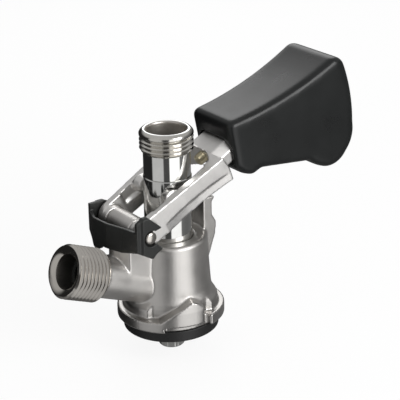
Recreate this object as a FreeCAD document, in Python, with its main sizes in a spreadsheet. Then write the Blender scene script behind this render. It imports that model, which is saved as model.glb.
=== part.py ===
# Keg coupler with a raised lever: cast body, sliding probe, fork lever, sprung grip.
# Millimetres. Z runs up the probe, X towards the grip, the gas inlet points to -X.
# The origin lies on the probe's axis at the lower face of the keg seal.
import FreeCAD, Part
import math
import os
import Sketcher
from FreeCAD import Placement, Rotation, Vector

doc = FreeCAD.newDocument("KegCoupler")
sheet = doc.addObject("Spreadsheet::Sheet", "Sizes")
aliases = []


class Size:
    """A number with the expression that reads it from the sheet."""

    def __init__(self, value, text):
        self.value = value
        self.text = text

    def __add__(self, other):
        return Size(self.value + number(other), f"({self.text} + {wording(other)})")

    def __radd__(self, other):
        return Size(number(other) + self.value, f"({wording(other)} + {self.text})")

    def __sub__(self, other):
        return Size(self.value - number(other), f"({self.text} - {wording(other)})")

    def __rsub__(self, other):
        return Size(number(other) - self.value, f"({wording(other)} - {self.text})")

    def __mul__(self, other):
        return Size(self.value * number(other), f"({self.text} * {wording(other)})")

    def __rmul__(self, other):
        return Size(number(other) * self.value, f"({wording(other)} * {self.text})")

    def __truediv__(self, other):
        return Size(self.value / number(other), f"({self.text} / {wording(other)})")

    def __neg__(self):
        return Size(-self.value, f"(0 - {self.text})")


def number(item):
    return item.value if isinstance(item, Size) else item


def wording(item):
    return item.text if isinstance(item, Size) else repr(item)


def size(alias, value):
    """Keep a driving size in the sheet and hand back its link."""
    aliases.append(alias)
    cell = f"B{len(aliases)}"
    sheet.set(f"A{len(aliases)}", alias)
    sheet.set(cell, str(value))
    sheet.setAlias(cell, alias)
    return Size(value, f"Sizes.{alias}")


def sine(angle):
    return Size(math.sin(math.radians(number(angle))), f"sin({wording(angle)})")


def cosine(angle):
    return Size(math.cos(math.radians(number(angle))), f"cos({wording(angle)})")


def tangent(angle):
    return Size(math.tan(math.radians(number(angle))), f"tan({wording(angle)})")


def root(item):
    return Size(math.sqrt(number(item)), f"sqrt({wording(item)})")


def bind(thing, name, item):
    thing.setExpression(name, wording(item))


# Lever hinge and the lever's raised rest pose
pivot_back = size("pivot_back", 21.0)
pivot_height = size("pivot_height", 51.0)
lever_angle = size("lever_angle", 27.4)

# Gas inlet's axis
inlet_height = size("inlet_height", 17.4)
inlet_angle = size("inlet_angle", 22.4)

# Running fits and seats
fit_turn = size("fit_turn", 0.06)
fit_slide = size("fit_slide", 0.1)
fit_seat = size("fit_seat", 0.02)

AXES = {
    "x": (Vector(0, 1, 0), 90),
    "-x": (Vector(0, -1, 0), 90),
    "y": (Vector(-1, 0, 0), 90),
    "-y": (Vector(1, 0, 0), 90),
    "z": (Vector(0, 0, 1), 0),
}


def move(thing, at):
    for letter, item in zip("xyz", at):
        bind(thing, f"Placement.Base.{letter}", item)
    return thing


def turn(thing, axis, angle):
    """Turn about an axis through the thing's own origin, the angle bound to the sheet."""
    thing.Placement = Placement(thing.Placement.Base, Rotation(axis, number(angle)))
    bind(thing, "Placement.Rotation.Angle", angle)
    return thing


def aim(thing, way):
    axis, angle = AXES[way]
    thing.Placement = Placement(Vector(), Rotation(axis, angle))
    return thing


def box(name, low, high):
    thing = doc.addObject("Part::Box", name)
    bind(thing, "Length", high[0] - low[0])
    bind(thing, "Width", high[1] - low[1])
    bind(thing, "Height", high[2] - low[2])
    return move(thing, low)


def cylinder(name, radius, start, length, way="z", sector=None):
    thing = aim(doc.addObject("Part::Cylinder", name), way)
    bind(thing, "Radius", radius)
    bind(thing, "Height", length)
    if sector is not None:
        turn(thing, Vector(0, 0, 1), sector[0])
        bind(thing, "Angle", sector[1])
    return move(thing, start)


def cone(name, first, second, start, length, way="z"):
    thing = aim(doc.addObject("Part::Cone", name), way)
    bind(thing, "Radius1", first)
    bind(thing, "Radius2", second)
    bind(thing, "Height", length)
    return move(thing, start)


def torus(name, ring, section, at):
    thing = doc.addObject("Part::Torus", name)
    bind(thing, "Radius1", ring)
    bind(thing, "Radius2", section)
    return move(thing, at)


def sphere(name, radius, at):
    thing = doc.addObject("Part::Sphere", name)
    bind(thing, "Radius", radius)
    return move(thing, at)


def cut(name, base, *tools):
    thing = doc.addObject("Part::Cut", name)
    thing.Base = base
    thing.Tool = tools[0] if len(tools) == 1 else fuse(name + "Tools", *tools)
    thing.Refine = True
    return thing


def fuse(name, *things):
    thing = doc.addObject("Part::MultiFuse", name)
    thing.Shapes = list(things)
    thing.Refine = True
    return thing


def common(name, *things):
    thing = doc.addObject("Part::MultiCommon", name)
    thing.Shapes = list(things)
    thing.Refine = True
    return thing


def edges_where(base, test):
    """Numbers of the base's edges whose middle passes the test."""
    doc.recompute()
    found = []
    for count, edge in enumerate(base.Shape.Edges, 1):
        middle = edge.valueAt((edge.FirstParameter + edge.LastParameter) / 2)
        if test(middle, edge):
            found.append(count)
    return found


def soften(kind, name, base, amount, test):
    """Fillet or chamfer the chosen edges of a solid."""
    thing = doc.addObject("Part::" + kind, name)
    thing.Base = base
    thing.Edges = [(count, number(amount), number(amount)) for count in edges_where(base, test)]
    return thing


def sketch(body, role, corners, offset=None):
    """Closed outline on an origin plane of the body.

    A corner is (x, y), or (x, y, via_x, via_y) where an arc runs to the next corner.
    """
    drawing = body.newObject("Sketcher::SketchObject", body.Name + "Outline")
    plane = [item for item in body.Origin.OriginFeatures if item.Role == role][0]
    drawing.AttachmentSupport = [(plane, "")]
    drawing.MapMode = "FlatFace"
    if offset is not None:
        bind(drawing, "AttachmentOffset.Base.z", offset)
    places = [Vector(number(corner[0]), number(corner[1]), 0) for corner in corners]
    ends = []
    for here, corner in enumerate(corners):
        first = places[here]
        last = places[(here + 1) % len(corners)]
        if len(corner) == 2:
            drawing.addGeometry(Part.LineSegment(first, last))
            ends.append((1, 2))
        else:
            via = Vector(number(corner[2]), number(corner[3]), 0)
            line = drawing.addGeometry(Part.Arc(first, via, last))
            forward = drawing.getPoint(line, 1).distanceToPoint(first) < drawing.getPoint(line, 2).distanceToPoint(first)
            ends.append((1, 2) if forward else (2, 1))
    for here in range(len(corners)):
        after = (here + 1) % len(corners)
        drawing.addConstraint(Sketcher.Constraint("Coincident", here, ends[here][1], after, ends[after][0]))
    for here, corner in enumerate(corners):
        fix(drawing, here, ends[here][0], corner[0], corner[1])
    for here, corner in enumerate(corners):
        if len(corner) == 4:
            via = Vector(number(corner[2]), number(corner[3]), 0)
            spot = drawing.addGeometry(Part.Point(via), True)
            fix(drawing, spot, 1, corner[2], corner[3])
            drawing.addConstraint(Sketcher.Constraint("PointOnObject", spot, 1, here))
    return drawing


def fix(drawing, item, end, across, up):
    for kind, distance in (("DistanceX", across), ("DistanceY", up)):
        rule = drawing.addConstraint(Sketcher.Constraint(kind, -1, 1, item, end, number(distance)))
        bind(drawing, f"Constraints[{rule}]", distance)


def lathe(name, corners):
    """Profile of (radius, height) corners turned about Z."""
    body = doc.addObject("PartDesign::Body", name)
    drawing = sketch(body, "XZ_Plane", corners)
    turned = body.newObject("PartDesign::Revolution", name + "Turn")
    turned.Profile = drawing
    turned.ReferenceAxis = (drawing, ["V_Axis"])
    return body


def pad(name, role, corners, length, offset=None):
    """Outline pushed out to both sides of its plane, or from an offset along its normal."""
    body = doc.addObject("PartDesign::Body", name)
    drawing = sketch(body, role, corners, offset)
    block = body.newObject("PartDesign::Pad", name + "Pad")
    block.Profile = drawing
    block.SideType = "Symmetric" if offset is None else "One side"
    bind(block, "Length", length)
    return body


# Keg seal: the ring that meets the keg's neck
seal_radius = size("seal_radius", 20.7)
seal_bore = size("seal_bore", 14.6)
seal_thick = size("seal_thick", 4.8)
seal_lip_radius = size("seal_lip_radius", 17.6)
seal_lip_rise = size("seal_lip_rise", 0.8)

# Cast body, turned parts
chamber_radius = size("chamber_radius", 12.5)
chamber_top = size("chamber_top", 26.0)
spigot_low = size("spigot_low", 1.4)
ring_radius = size("ring_radius", 20.4)
ring_top = size("ring_top", 13.4)
shoulder_radius = size("shoulder_radius", 19.7)
shoulder_height = size("shoulder_height", 14.6)
foot_radius = size("foot_radius", 18.4)
foot_height = size("foot_height", 16.6)
waist_radius = size("waist_radius", 17.7)
waist_height = size("waist_height", 19.0)
barrel_radius = size("barrel_radius", 16.3)
barrel_top = size("barrel_top", 41.5)
rim_chamfer = size("rim_chamfer", 1.1)
bore_chamfer = size("bore_chamfer", 0.5)

# Bayonet flange: two ears and two cam lugs, half a turn apart
flange_radius = size("flange_radius", 23.3)
ear_low = size("ear_low", 5.2)
ear_thick = size("ear_thick", 4.8)
ear_angle = size("ear_angle", 283.0)
ear_sweep_angle = size("ear_sweep_angle", 125.0)
half_turn = 180
recess_out = size("recess_out", 14.5)
recess_radius = size("recess_radius", 18.6)
recess_top = size("recess_top", 16.4)
cam_chamfer = size("cam_chamfer", 1.2)
cam_angle = size("cam_angle", 250.0)
cam_low = size("cam_low", 7.6)
cam_foot = size("cam_foot", 10.4)
cam_middle = size("cam_middle", 14.6)
cam_top = size("cam_top", 18.6)
cam_end = size("cam_end", 15.4)
cam_start_out = size("cam_start_out", 9.6)
cam_middle_out = size("cam_middle_out", 3.6)
cam_peak_out = size("cam_peak_out", 3.6)
cam_round_out = size("cam_round_out", 6.4)
cam_end_out = size("cam_end_out", 9.0)

# Probe: the tube that slides in the body
probe_radius = size("probe_radius", 10.3)
probe_top = size("probe_top", 68.9)
probe_bore = size("probe_bore", 5.8)
neck_bore = size("neck_bore", 3.6)
neck_length = size("neck_length", 3.2)
seat_radius = size("seat_radius", 6.4)
spigot_radius = size("spigot_radius", 8.8)
spigot_top = size("spigot_top", 72.2)
probe_shoulder = size("probe_shoulder", 8.0)
probe_end_radius = size("probe_end_radius", 8.2)
probe_end = size("probe_end", 4.2)
cord_radius = size("cord_radius", 1.0)
upper_ring_height = size("upper_ring_height", 39.4)
ring_spacing = size("ring_spacing", 2.8)
ring_proud = size("ring_proud", 0.05)
groove_play = size("groove_play", 0.1)
drive_flat = size("drive_flat", 7.9)
slot_play = size("slot_play", 0.45)

# Lever's drive lugs
lug_out = size("lug_out", 18.9)
lug_up = size("lug_up", 3.6)
lug_radius = size("lug_radius", 3.9)
lug_end_radius = size("lug_end_radius", 2.8)
lug_gap = size("lug_gap", 0.3)


def keg_seal():
    inner = seal_bore + fit_seat
    corners = [
        (inner, seal_lip_rise),
        (seal_lip_radius, 0),
        (seal_radius, 0),
        (seal_radius, seal_thick),
        (inner, seal_thick),
    ]
    return lathe("keg_seal", corners)


def body_form():
    """Outside of the barrel with its flared foot and the seal's spigot."""
    corners = [
        (0, spigot_low),
        (seal_bore, spigot_low),
        (seal_bore, seal_thick),
        (ring_radius, seal_thick),
        (ring_radius, ring_top),
        (shoulder_radius, shoulder_height),
        (foot_radius, foot_height),
        (waist_radius, waist_height),
        (barrel_radius, barrel_top - rim_chamfer),
        (barrel_radius - rim_chamfer, barrel_top),
        (0, barrel_top),
    ]
    return lathe("Barrel", corners)


def cam_lug(name, facing):
    """Helical lug whose ramp pulls the coupler down on the keg's neck."""
    outline = [
        (-cam_start_out, cam_low),
        (-cam_start_out, cam_foot),
        (-cam_middle_out, cam_middle),
        (cam_peak_out, cam_top),
        (cam_round_out, cam_top - cam_chamfer),
        (cam_end_out, cam_end),
        (cam_end_out, cam_low),
    ]
    reach = flange_radius + flange_radius
    block = pad(name + "Block", "YZ_Plane", outline, reach, offset=chamber_radius)
    turn(block, Vector(0, 0, 1), facing)
    round_edge = cylinder(name + "Round", flange_radius, (0, 0, 0), cam_top + cam_top)
    return common(name, block, round_edge)


def ear(name, start):
    return cylinder(name, flange_radius, (0, 0, ear_low), ear_thick, sector=(start, ear_sweep_angle))


def cam_recess(name, angle):
    """Flat-ended hollow in the shoulder ring, over the flange and behind a cam lug."""
    low = ear_low + ear_thick
    reach = 2 * flange_radius
    block = doc.addObject("Part::Box", name + "Block")
    bind(block, "Length", reach)
    bind(block, "Width", 2 * reach)
    bind(block, "Height", recess_top - low)
    turn(block, Vector(0, 0, 1), angle)
    across = recess_out * cosine(angle) + reach * sine(angle)
    along = recess_out * sine(angle) - reach * cosine(angle)
    move(block, (across, along, low))
    core = cylinder(name + "Core", recess_radius, (0, 0, low), recess_top - low)
    return cut(name, block, core)


# Post with the cross boss for the hinge
post_front = size("post_front", 12.0)
post_back = size("post_back", 29.2)
post_neck_height = size("post_neck_height", 43.0)
post_low = size("post_low", 22.0)
post_half_width = size("post_half_width", 8.0)
post_flat_back = size("post_flat_back", 25.4)
post_bevel_back = size("post_bevel_back", 27.4)
post_bevel_side = size("post_bevel_side", 5.0)
post_prow_side = size("post_prow_side", 1.5)
boss_radius = size("boss_radius", 5.5)
boss_half_length = size("boss_half_length", 8.2)
pin_radius = size("pin_radius", 2.45)
pin_half_length = size("pin_half_length", 17.5)
pin_chamfer = size("pin_chamfer", 0.5)


def post():
    """Upright with a prowed back, met by the cross boss."""
    side_outline = [
        (-post_front, post_low),
        (-post_front, barrel_top),
        (-(pivot_back - boss_radius), barrel_top + rim_chamfer),
        (-(pivot_back - boss_radius), pivot_height),
        (-(pivot_back + boss_radius), pivot_height),
        (-post_back, post_neck_height),
        (-post_back, post_low),
    ]
    side = pad("PostSide", "XZ_Plane", side_outline, 4 * post_half_width)
    plan_outline = [
        (-post_front, -post_half_width),
        (-post_front, post_half_width),
        (-post_flat_back, post_half_width),
        (-post_bevel_back, post_bevel_side),
        (-post_back, post_prow_side),
        (-post_back, -post_prow_side),
        (-post_bevel_back, -post_bevel_side),
        (-post_flat_back, -post_half_width),
    ]
    plan = pad("PostPlan", "XY_Plane", plan_outline, 2 * pivot_height, offset=0 * pivot_height)
    slab = common("PostSlab", side, plan)
    boss = cylinder(
        "CrossBoss", boss_radius, (-pivot_back, -boss_half_length, pivot_height), 2 * boss_half_length, "y"
    )
    return fuse("Post", slab, boss)


# Tower that the latch pin snaps into
tower_inner = size("tower_inner", 15.4)
tower_half_width = size("tower_half_width", 5.5)
tower_foot_out = size("tower_foot_out", 18.4)
tower_foot_height = size("tower_foot_height", 28.5)
tower_bulge_out = size("tower_bulge_out", 20.8)
tower_bulge_height = size("tower_bulge_height", 38.3)
tower_wedge_out = size("tower_wedge_out", 21.3)
tower_wedge_height = size("tower_wedge_height", 43.4)
notch_out = size("notch_out", 19.2)
notch_low = size("notch_low", 47.1)
notch_high = size("notch_high", 53.3)
lip_out = size("lip_out", 20.2)
tower_top = size("tower_top", 55.5)
tower_root = size("tower_root", 13.0)


def tower():
    outline = [
        (tower_root, tower_foot_height),
        (tower_foot_out - rim_chamfer, tower_foot_height),
        (tower_bulge_out, tower_bulge_height),
        (tower_wedge_out, tower_wedge_height),
        (notch_out, notch_low),
        (notch_out, notch_high),
        (lip_out, notch_high + (lip_out - notch_out)),
        (lip_out, tower_top),
        (tower_root, tower_top),
    ]
    slab = pad("TowerSlab", "XZ_Plane", outline, 2 * tower_half_width)
    hollow = cylinder("TowerHollow", tower_inner, (0, 0, barrel_top), tower_top)
    return cut("Tower", slab, hollow)


# Gas inlet, drawn along Z and then tilted
inlet_length = size("inlet_length", 57.1)
inlet_neck_radius = size("inlet_neck_radius", 9.2)
inlet_thread_radius = size("inlet_thread_radius", 11.5)
inlet_thread_length = size("inlet_thread_length", 15.6)
inlet_lip_chamfer = size("inlet_lip_chamfer", 1.3)
inlet_relief = size("inlet_relief", 1.6)
inlet_bore = size("inlet_bore", 7.3)
inlet_seat_radius = size("inlet_seat_radius", 9.7)
inlet_seat_depth = size("inlet_seat_depth", 3.2)
valve_depth = size("valve_depth", 15.0)
valve_bore = size("valve_bore", 5.8)
valve_room = size("valve_room", 18.1)
port_radius = size("port_radius", 3.2)
port_start = size("port_start", 11.0)


def on_inlet(thing):
    """Tilt a thing drawn along Z onto the inlet's axis."""
    turn(thing, Vector(0, -1, 0), 90 - inlet_angle)
    return move(thing, (0, 0, inlet_height))


def inlet_form():
    thread_start = inlet_length - inlet_thread_length
    corners = [
        (0, port_start),
        (inlet_neck_radius, port_start),
        (inlet_neck_radius, thread_start - inlet_relief),
        (inlet_thread_radius, thread_start),
        (inlet_thread_radius, inlet_length - inlet_lip_chamfer),
        (inlet_thread_radius - inlet_lip_chamfer, inlet_length),
        (0, inlet_length),
    ]
    return on_inlet(lathe("Inlet", corners))


def inlet_hollow():
    valve_floor = inlet_length - valve_depth
    corners = [
        (0, 0),
        (port_radius, 0),
        (port_radius, valve_floor - valve_room),
        (valve_bore, valve_floor - valve_room + valve_bore - port_radius),
        (valve_bore, valve_floor),
        (inlet_bore, valve_floor),
        (inlet_bore, inlet_length - inlet_seat_depth),
        (inlet_seat_radius, inlet_length),
        (0, inlet_length),
    ]
    return on_inlet(lathe("InletHollow", corners))


def body_hollow():
    bearing = probe_radius + fit_slide
    corners = [
        (0, spigot_low),
        (chamber_radius, spigot_low),
        (chamber_radius, chamber_top - (chamber_radius - bearing)),
        (bearing, chamber_top),
        (bearing, barrel_top - bore_chamfer),
        (bearing + bore_chamfer, barrel_top),
        (0, barrel_top),
    ]
    return lathe("BodyHollow", corners)


def coupler_body():
    barrel = cut(
        "BodyTurned",
        body_form(),
        cam_recess("RecessFront", cam_angle),
        cam_recess("RecessRear", cam_angle - half_turn),
    )
    whole = fuse(
        "BodyWhole",
        barrel,
        ear("EarFront", ear_angle),
        ear("EarRear", ear_angle - half_turn),
        cam_lug("CamFront", cam_angle),
        cam_lug("CamRear", cam_angle - half_turn),
        post(),
        tower(),
        inlet_form(),
    )
    pin_hole = cylinder(
        "PinHole", pin_radius + fit_seat, (-pivot_back, -boss_half_length, pivot_height), 2 * boss_half_length, "y"
    )
    return cut("coupler_body", whole, body_hollow(), inlet_hollow(), pin_hole)


def hinge_pin():
    rod = cylinder("PinRod", pin_radius, (-pivot_back, -pin_half_length, pivot_height), 2 * pin_half_length, "y")

    def end_edge(middle, edge):
        return edge.Closed and len(edge.Vertexes) == 1

    return soften("Chamfer", "hinge_pin", rod, pin_chamfer, end_edge)


# Gas non-return valve: a duckbill held by a ring
valve_rim_thick = size("valve_rim_thick", 2.0)
bill_radius = size("bill_radius", 5.0)
bill_bore = size("bill_bore", 3.8)
bill_length = size("bill_length", 9.0)
bill_half_tip = size("bill_half_tip", 0.9)
bill_collar = size("bill_collar", 2.5)
retainer_bore = size("retainer_bore", 5.2)
retainer_length = size("retainer_length", 3.5)


def gas_check_valve():
    floor = inlet_length - valve_depth
    rim = cylinder("ValveRim", inlet_bore - fit_seat, (0, 0, floor), valve_rim_thick)
    stem = cylinder("ValveStem", bill_radius, (0, 0, floor - bill_length), bill_length + valve_rim_thick)
    wedge_outline = [
        (-bill_half_tip, floor - bill_length),
        (bill_half_tip, floor - bill_length),
        (bill_radius, floor - bill_collar),
        (bill_radius, floor + valve_rim_thick),
        (-bill_radius, floor + valve_rim_thick),
        (-bill_radius, floor - bill_collar),
    ]
    wedge = pad("ValveWedge", "XZ_Plane", wedge_outline, 2 * bill_radius)
    bill = common("ValveBill", stem, wedge)
    hole = cylinder("ValveHole", bill_bore, (0, 0, floor - bill_collar), bill_collar + valve_rim_thick)
    valve = cut("gas_check_valve", fuse("ValveForm", rim, bill), hole)
    return on_inlet(valve)


def gas_valve_retainer():
    low = inlet_length - valve_depth + valve_rim_thick
    ring = cylinder("RetainerRing", inlet_bore - fit_seat, (0, 0, low), retainer_length)
    hole = cylinder("RetainerHole", retainer_bore, (0, 0, low), retainer_length)
    return on_inlet(cut("gas_valve_retainer", ring, hole))


def drive_height():
    """Height of the lugs' centre above the seal at rest."""
    return pivot_height + lug_out * sine(lever_angle) + lug_up * cosine(lever_angle)


def groove_floor():
    return probe_radius + ring_proud - 2 * cord_radius - fit_seat


def probe_groove(name, height):
    low = height - cord_radius - groove_play
    high = height + cord_radius + groove_play
    corners = [
        (groove_floor(), low),
        (probe_radius + probe_radius, low),
        (probe_radius + probe_radius, high),
        (groove_floor(), high),
    ]
    return lathe(name, corners)


tip_spigot_radius = size("tip_spigot_radius", 5.0)
tip_spigot_top = size("tip_spigot_top", 13.0)
probe_edge = size("probe_edge", 0.3)
outlet_ring_height = size("outlet_ring_height", 70.4)
outlet_ring_cord = size("outlet_ring_cord", 0.6)


def probe():
    neck_low = spigot_top - (seat_radius - neck_bore) - neck_length
    socket = tip_spigot_radius + fit_seat
    corners = [
        (socket, probe_end),
        (probe_end_radius, probe_end),
        (probe_end_radius, probe_shoulder),
        (probe_radius, probe_shoulder + (probe_radius - probe_end_radius)),
        (probe_radius, probe_top - probe_edge),
        (probe_radius - probe_edge, probe_top),
        (spigot_radius - fit_seat, probe_top),
        (spigot_radius - fit_seat, spigot_top),
        (seat_radius, spigot_top),
        (neck_bore, spigot_top - (seat_radius - neck_bore)),
        (neck_bore, neck_low),
        (probe_bore, neck_low - (probe_bore - neck_bore)),
        (probe_bore, tip_spigot_top),
        (socket, tip_spigot_top),
    ]
    tube = lathe("ProbeTube", corners)
    half_slot = lug_end_radius + slot_play + (lug_radius - lug_end_radius) / 2
    slots = []
    for name, near, far in (
        ("SlotNear", -2 * probe_radius, -drive_flat),
        ("SlotFar", drive_flat, 2 * probe_radius),
    ):
        low = (-2 * probe_radius, near, drive_height() - half_slot)
        high = (2 * probe_radius, far, drive_height() + half_slot)
        slots.append(box(name, low, high))
    upper = probe_groove("GrooveUpper", upper_ring_height)
    lower = probe_groove("GrooveLower", upper_ring_height - ring_spacing)
    cord = outlet_ring_cord + fit_seat
    groove_outline = [
        (spigot_radius - 2 * cord, outlet_ring_height - cord),
        (probe_radius, outlet_ring_height - cord),
        (probe_radius, outlet_ring_height + cord),
        (spigot_radius - 2 * cord, outlet_ring_height + cord),
    ]
    outlet_groove = lathe("OutletGroove", groove_outline)
    return cut("probe", tube, upper, lower, outlet_groove, *slots)


def outlet_ring():
    ring = spigot_radius - fit_seat - outlet_ring_cord
    return torus("outlet_ring", ring, outlet_ring_cord, (0, 0, outlet_ring_height))


def probe_ring(name, height):
    return torus(name, probe_radius + ring_proud - cord_radius, cord_radius, (0, 0, height))


# Probe tip and its seal
tip_radius = size("tip_radius", 5.6)
tip_low = size("tip_low", 10.6)
tip_bore = size("tip_bore", 3.4)
tip_flange_radius = size("tip_flange_radius", 8.0)
tip_flange_low = size("tip_flange_low", 0.6)
tip_seal_low = size("tip_seal_low", 1.0)
tip_seal_radius = size("tip_seal_radius", 9.0)
tip_chamfer = size("tip_chamfer", 0.6)


def probe_tip():
    corners = [
        (tip_bore, -tip_low),
        (tip_radius - tip_chamfer, -tip_low),
        (tip_radius, tip_chamfer - tip_low),
        (tip_radius, -tip_flange_low),
        (tip_flange_radius, -tip_flange_low),
        (tip_flange_radius, tip_seal_low),
        (tip_spigot_radius, tip_seal_low),
        (tip_spigot_radius, tip_spigot_top),
        (tip_bore, tip_spigot_top),
    ]
    return lathe("probe_tip", corners)


def tip_seal():
    inner = tip_spigot_radius + fit_seat
    corners = [
        (inner, tip_seal_low),
        (tip_seal_radius - tip_chamfer, tip_seal_low),
        (tip_seal_radius, tip_seal_low + tip_chamfer),
        (tip_seal_radius, probe_end - tip_chamfer),
        (tip_seal_radius - tip_chamfer, probe_end),
        (inner, probe_end),
    ]
    return lathe("tip_seal", corners)


# Beer outlet with its hose thread
outlet_radius = size("outlet_radius", 10.0)
outlet_top = size("outlet_top", 89.5)
outlet_thread_length = size("outlet_thread_length", 8.6)
outlet_relief = size("outlet_relief", 1.4)
outlet_lip_chamfer = size("outlet_lip_chamfer", 0.9)
outlet_mouth_chamfer = size("outlet_mouth_chamfer", 0.5)
outlet_bore = size("outlet_bore", 8.44)


def beer_outlet():
    bore = outlet_bore
    socket = spigot_radius
    shoulder = cage_top()
    thread_start = outlet_top - outlet_thread_length
    corners = [
        (socket, probe_top),
        (outlet_radius - probe_edge, probe_top),
        (outlet_radius, probe_top + probe_edge),
        (outlet_radius, thread_start - outlet_relief),
        (inlet_thread_radius, thread_start),
        (inlet_thread_radius, outlet_top - outlet_lip_chamfer),
        (inlet_thread_radius - outlet_lip_chamfer, outlet_top),
        (bore + outlet_mouth_chamfer, outlet_top),
        (bore, outlet_top - outlet_mouth_chamfer),
        (bore, shoulder),
        (socket, shoulder),
    ]
    return lathe("beer_outlet", corners)


# Beer non-return ball and the cage that stops it
ball_radius = size("ball_radius", 5.5)
ball_play = size("ball_play", 0.1)
ball_lift = size("ball_lift", 1.5)
cage_bore = size("cage_bore", 7.2)
cage_bar = size("cage_bar", 1.8)
cage_bar_height = size("cage_bar_height", 1.2)
cage_gap = size("cage_gap", 0.2)


def ball_height():
    """Centre of the ball just clear of its 45 degree seat."""
    tip = spigot_top - seat_radius
    return tip + (ball_radius + ball_play) * root(2)


def cage_top():
    return ball_height() + ball_radius + ball_lift + cage_gap + cage_bar_height


def check_ball():
    return sphere("check_ball", ball_radius, (0, 0, ball_height()))


def ball_cage():
    low = spigot_top
    bars_low = ball_height() + ball_radius + ball_lift + cage_gap
    high = cage_top()
    outer = spigot_radius - fit_seat
    tube = cylinder("CageTube", outer, (0, 0, low), high - low)
    inner = cylinder("CageInner", cage_bore, (0, 0, low), high - low)
    ring = cut("CageRing", tube, inner)
    reach = cage_bore + (outer - cage_bore) / 2
    along = box("CageBarAlong", (-reach, -cage_bar / 2, bars_low), (reach, cage_bar / 2, high))
    across = box("CageBarAcross", (-cage_bar / 2, -reach, bars_low), (cage_bar / 2, reach, high))
    return fuse("ball_cage", ring, along, across)


def on_lever(thing):
    """Carry a thing drawn about the pivot to the raised lever."""
    turn(thing, Vector(0, -1, 0), lever_angle)
    return move(thing, (-pivot_back, 0, pivot_height))


# Fork lever, drawn with X along the arms and the pivot at the origin
arm_half_height = size("arm_half_height", 6.0)
arm_back = size("arm_back", 6.2)
arm_round = size("arm_round", 5.2)
arm_outer = size("arm_outer", 14.2)
arm_splay = size("arm_splay", 3.3)
arm_inner = size("arm_inner", 11.6)
arm_end = size("arm_end", 46.0)
arm_end_lean = size("arm_end_lean", 0.8)
ledge_inner = size("ledge_inner", 12.6)
ledge_high = size("ledge_high", 1.3)
ledge_low = size("ledge_low", -0.3)
ledge_start = size("ledge_start", 8.5)
ledge_end = size("ledge_end", 38.0)
window_radius = size("window_radius", 18.1)
window_end = size("window_end", 45.4)
web_radius = size("web_radius", 114.0)
web_depth = size("web_depth", 1.6)
web_middle = size("web_middle", 27.0)
web_top = size("web_top", -0.2)
hub_radius = size("hub_radius", 5.5)
hub_gap = size("hub_gap", 0.3)
hub_sink = size("hub_sink", 0.6)

# Collar that guides the sprung grip, and the tongue inside it
collar_half_width = size("collar_half_width", 10.9)
collar_flat = size("collar_flat", 7.45)
collar_high = size("collar_high", 4.9)
collar_side_high = size("collar_side_high", 1.5)
collar_low = size("collar_low", 3.6)
collar_start = size("collar_start", 43.0)
collar_end = size("collar_end", 64.0)
tongue_half_width = size("tongue_half_width", 6.5)
tongue_end = size("tongue_end", 80.0)

# Latch plunger and its spring
latch_up = size("latch_up", 0.65)
latch_radius = size("latch_radius", 2.5)
latch_tip = size("latch_tip", 41.8)
latch_tip_chamfer = size("latch_tip_chamfer", 0.5)
latch_head_radius = size("latch_head_radius", 3.2)
latch_head_start = size("latch_head_start", 53.6)
latch_head_length = size("latch_head_length", 3.0)
latch_forward = size("latch_forward", 1.3)
latch_pull = size("latch_pull", 1.5)
latch_stop_gap = size("latch_stop_gap", 0.2)
rod_radius = size("rod_radius", 1.6)
rod_end = size("rod_end", 92.0)
spring_bore_play = size("spring_bore_play", 0.15)
spring_wire = size("spring_wire", 0.4)
plug_length = size("plug_length", 4.0)


def fork_window():
    radius = window_radius
    centre = window_end - window_radius
    low = -2 * arm_half_height
    tall = 4 * arm_half_height
    round_end = cylinder("WindowRound", radius, (centre, 0, low), tall)
    limit = box(
        "WindowLimit",
        (-2 * arm_back, -arm_inner, low),
        (window_end + arm_end, arm_inner, 2 * arm_half_height),
    )
    rounded = common("WindowEnd", round_end, limit)
    straight = box(
        "WindowStraight",
        (-2 * arm_back, -arm_inner, low),
        (centre, arm_inner, 2 * arm_half_height),
    )
    return fuse("Window", rounded, straight)


def fork_blank():
    """Plan and side outlines of the two arms met in one block."""
    wide = arm_outer + arm_splay
    plan_outline = [
        (-arm_back, -arm_outer),
        (arm_end, -wide),
        (arm_end, wide),
        (-arm_back, arm_outer),
    ]
    plan = pad("ForkPlan", "XY_Plane", plan_outline, 4 * arm_half_height)
    side_outline = [
        (0, arm_half_height, -arm_round, 0),
        (0, -arm_half_height),
        (arm_end - arm_end_lean, -arm_half_height),
        (arm_end, ledge_low),
        (arm_end - arm_end_lean, arm_half_height),
    ]
    side = pad("ForkSide", "XZ_Plane", side_outline, 4 * wide)
    return common("ForkBlank", plan, side)


def outer_web(name, side):
    """Hollow below the arm's outer rib, deepest half way along."""
    slope = arm_splay / (arm_end + arm_back)
    along = web_middle - web_radius * slope
    away = arm_outer + (web_middle + arm_back) * slope - web_depth + web_radius
    high = web_top - web_depth
    low = -2 * arm_half_height
    column = cylinder(name + "Column", web_radius, (along, side * away, low), high - low)
    bevel = cone(name + "Bevel", web_radius, web_radius - web_depth, (along, side * away, high), web_depth)
    return fuse(name, column, bevel)


def inner_ledge():
    """Hollow above the ledge on the arms' inner sides."""
    outline = [
        (-ledge_inner, 2 * arm_half_height),
        (-ledge_inner, ledge_high),
        (-arm_inner, ledge_low),
        (arm_inner, ledge_low),
        (ledge_inner, ledge_high),
        (ledge_inner, 2 * arm_half_height),
    ]
    return pad("Ledge", "YZ_Plane", outline, ledge_end - ledge_start, offset=ledge_start)


def collar_form():
    outline = [
        (-collar_half_width, -collar_low),
        (collar_half_width, -collar_low),
        (collar_half_width, collar_side_high),
        (collar_flat, collar_high),
        (-collar_flat, collar_high),
        (-collar_half_width, collar_side_high),
    ]
    return pad("Collar", "YZ_Plane", outline, collar_end - collar_start, offset=collar_start)


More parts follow.
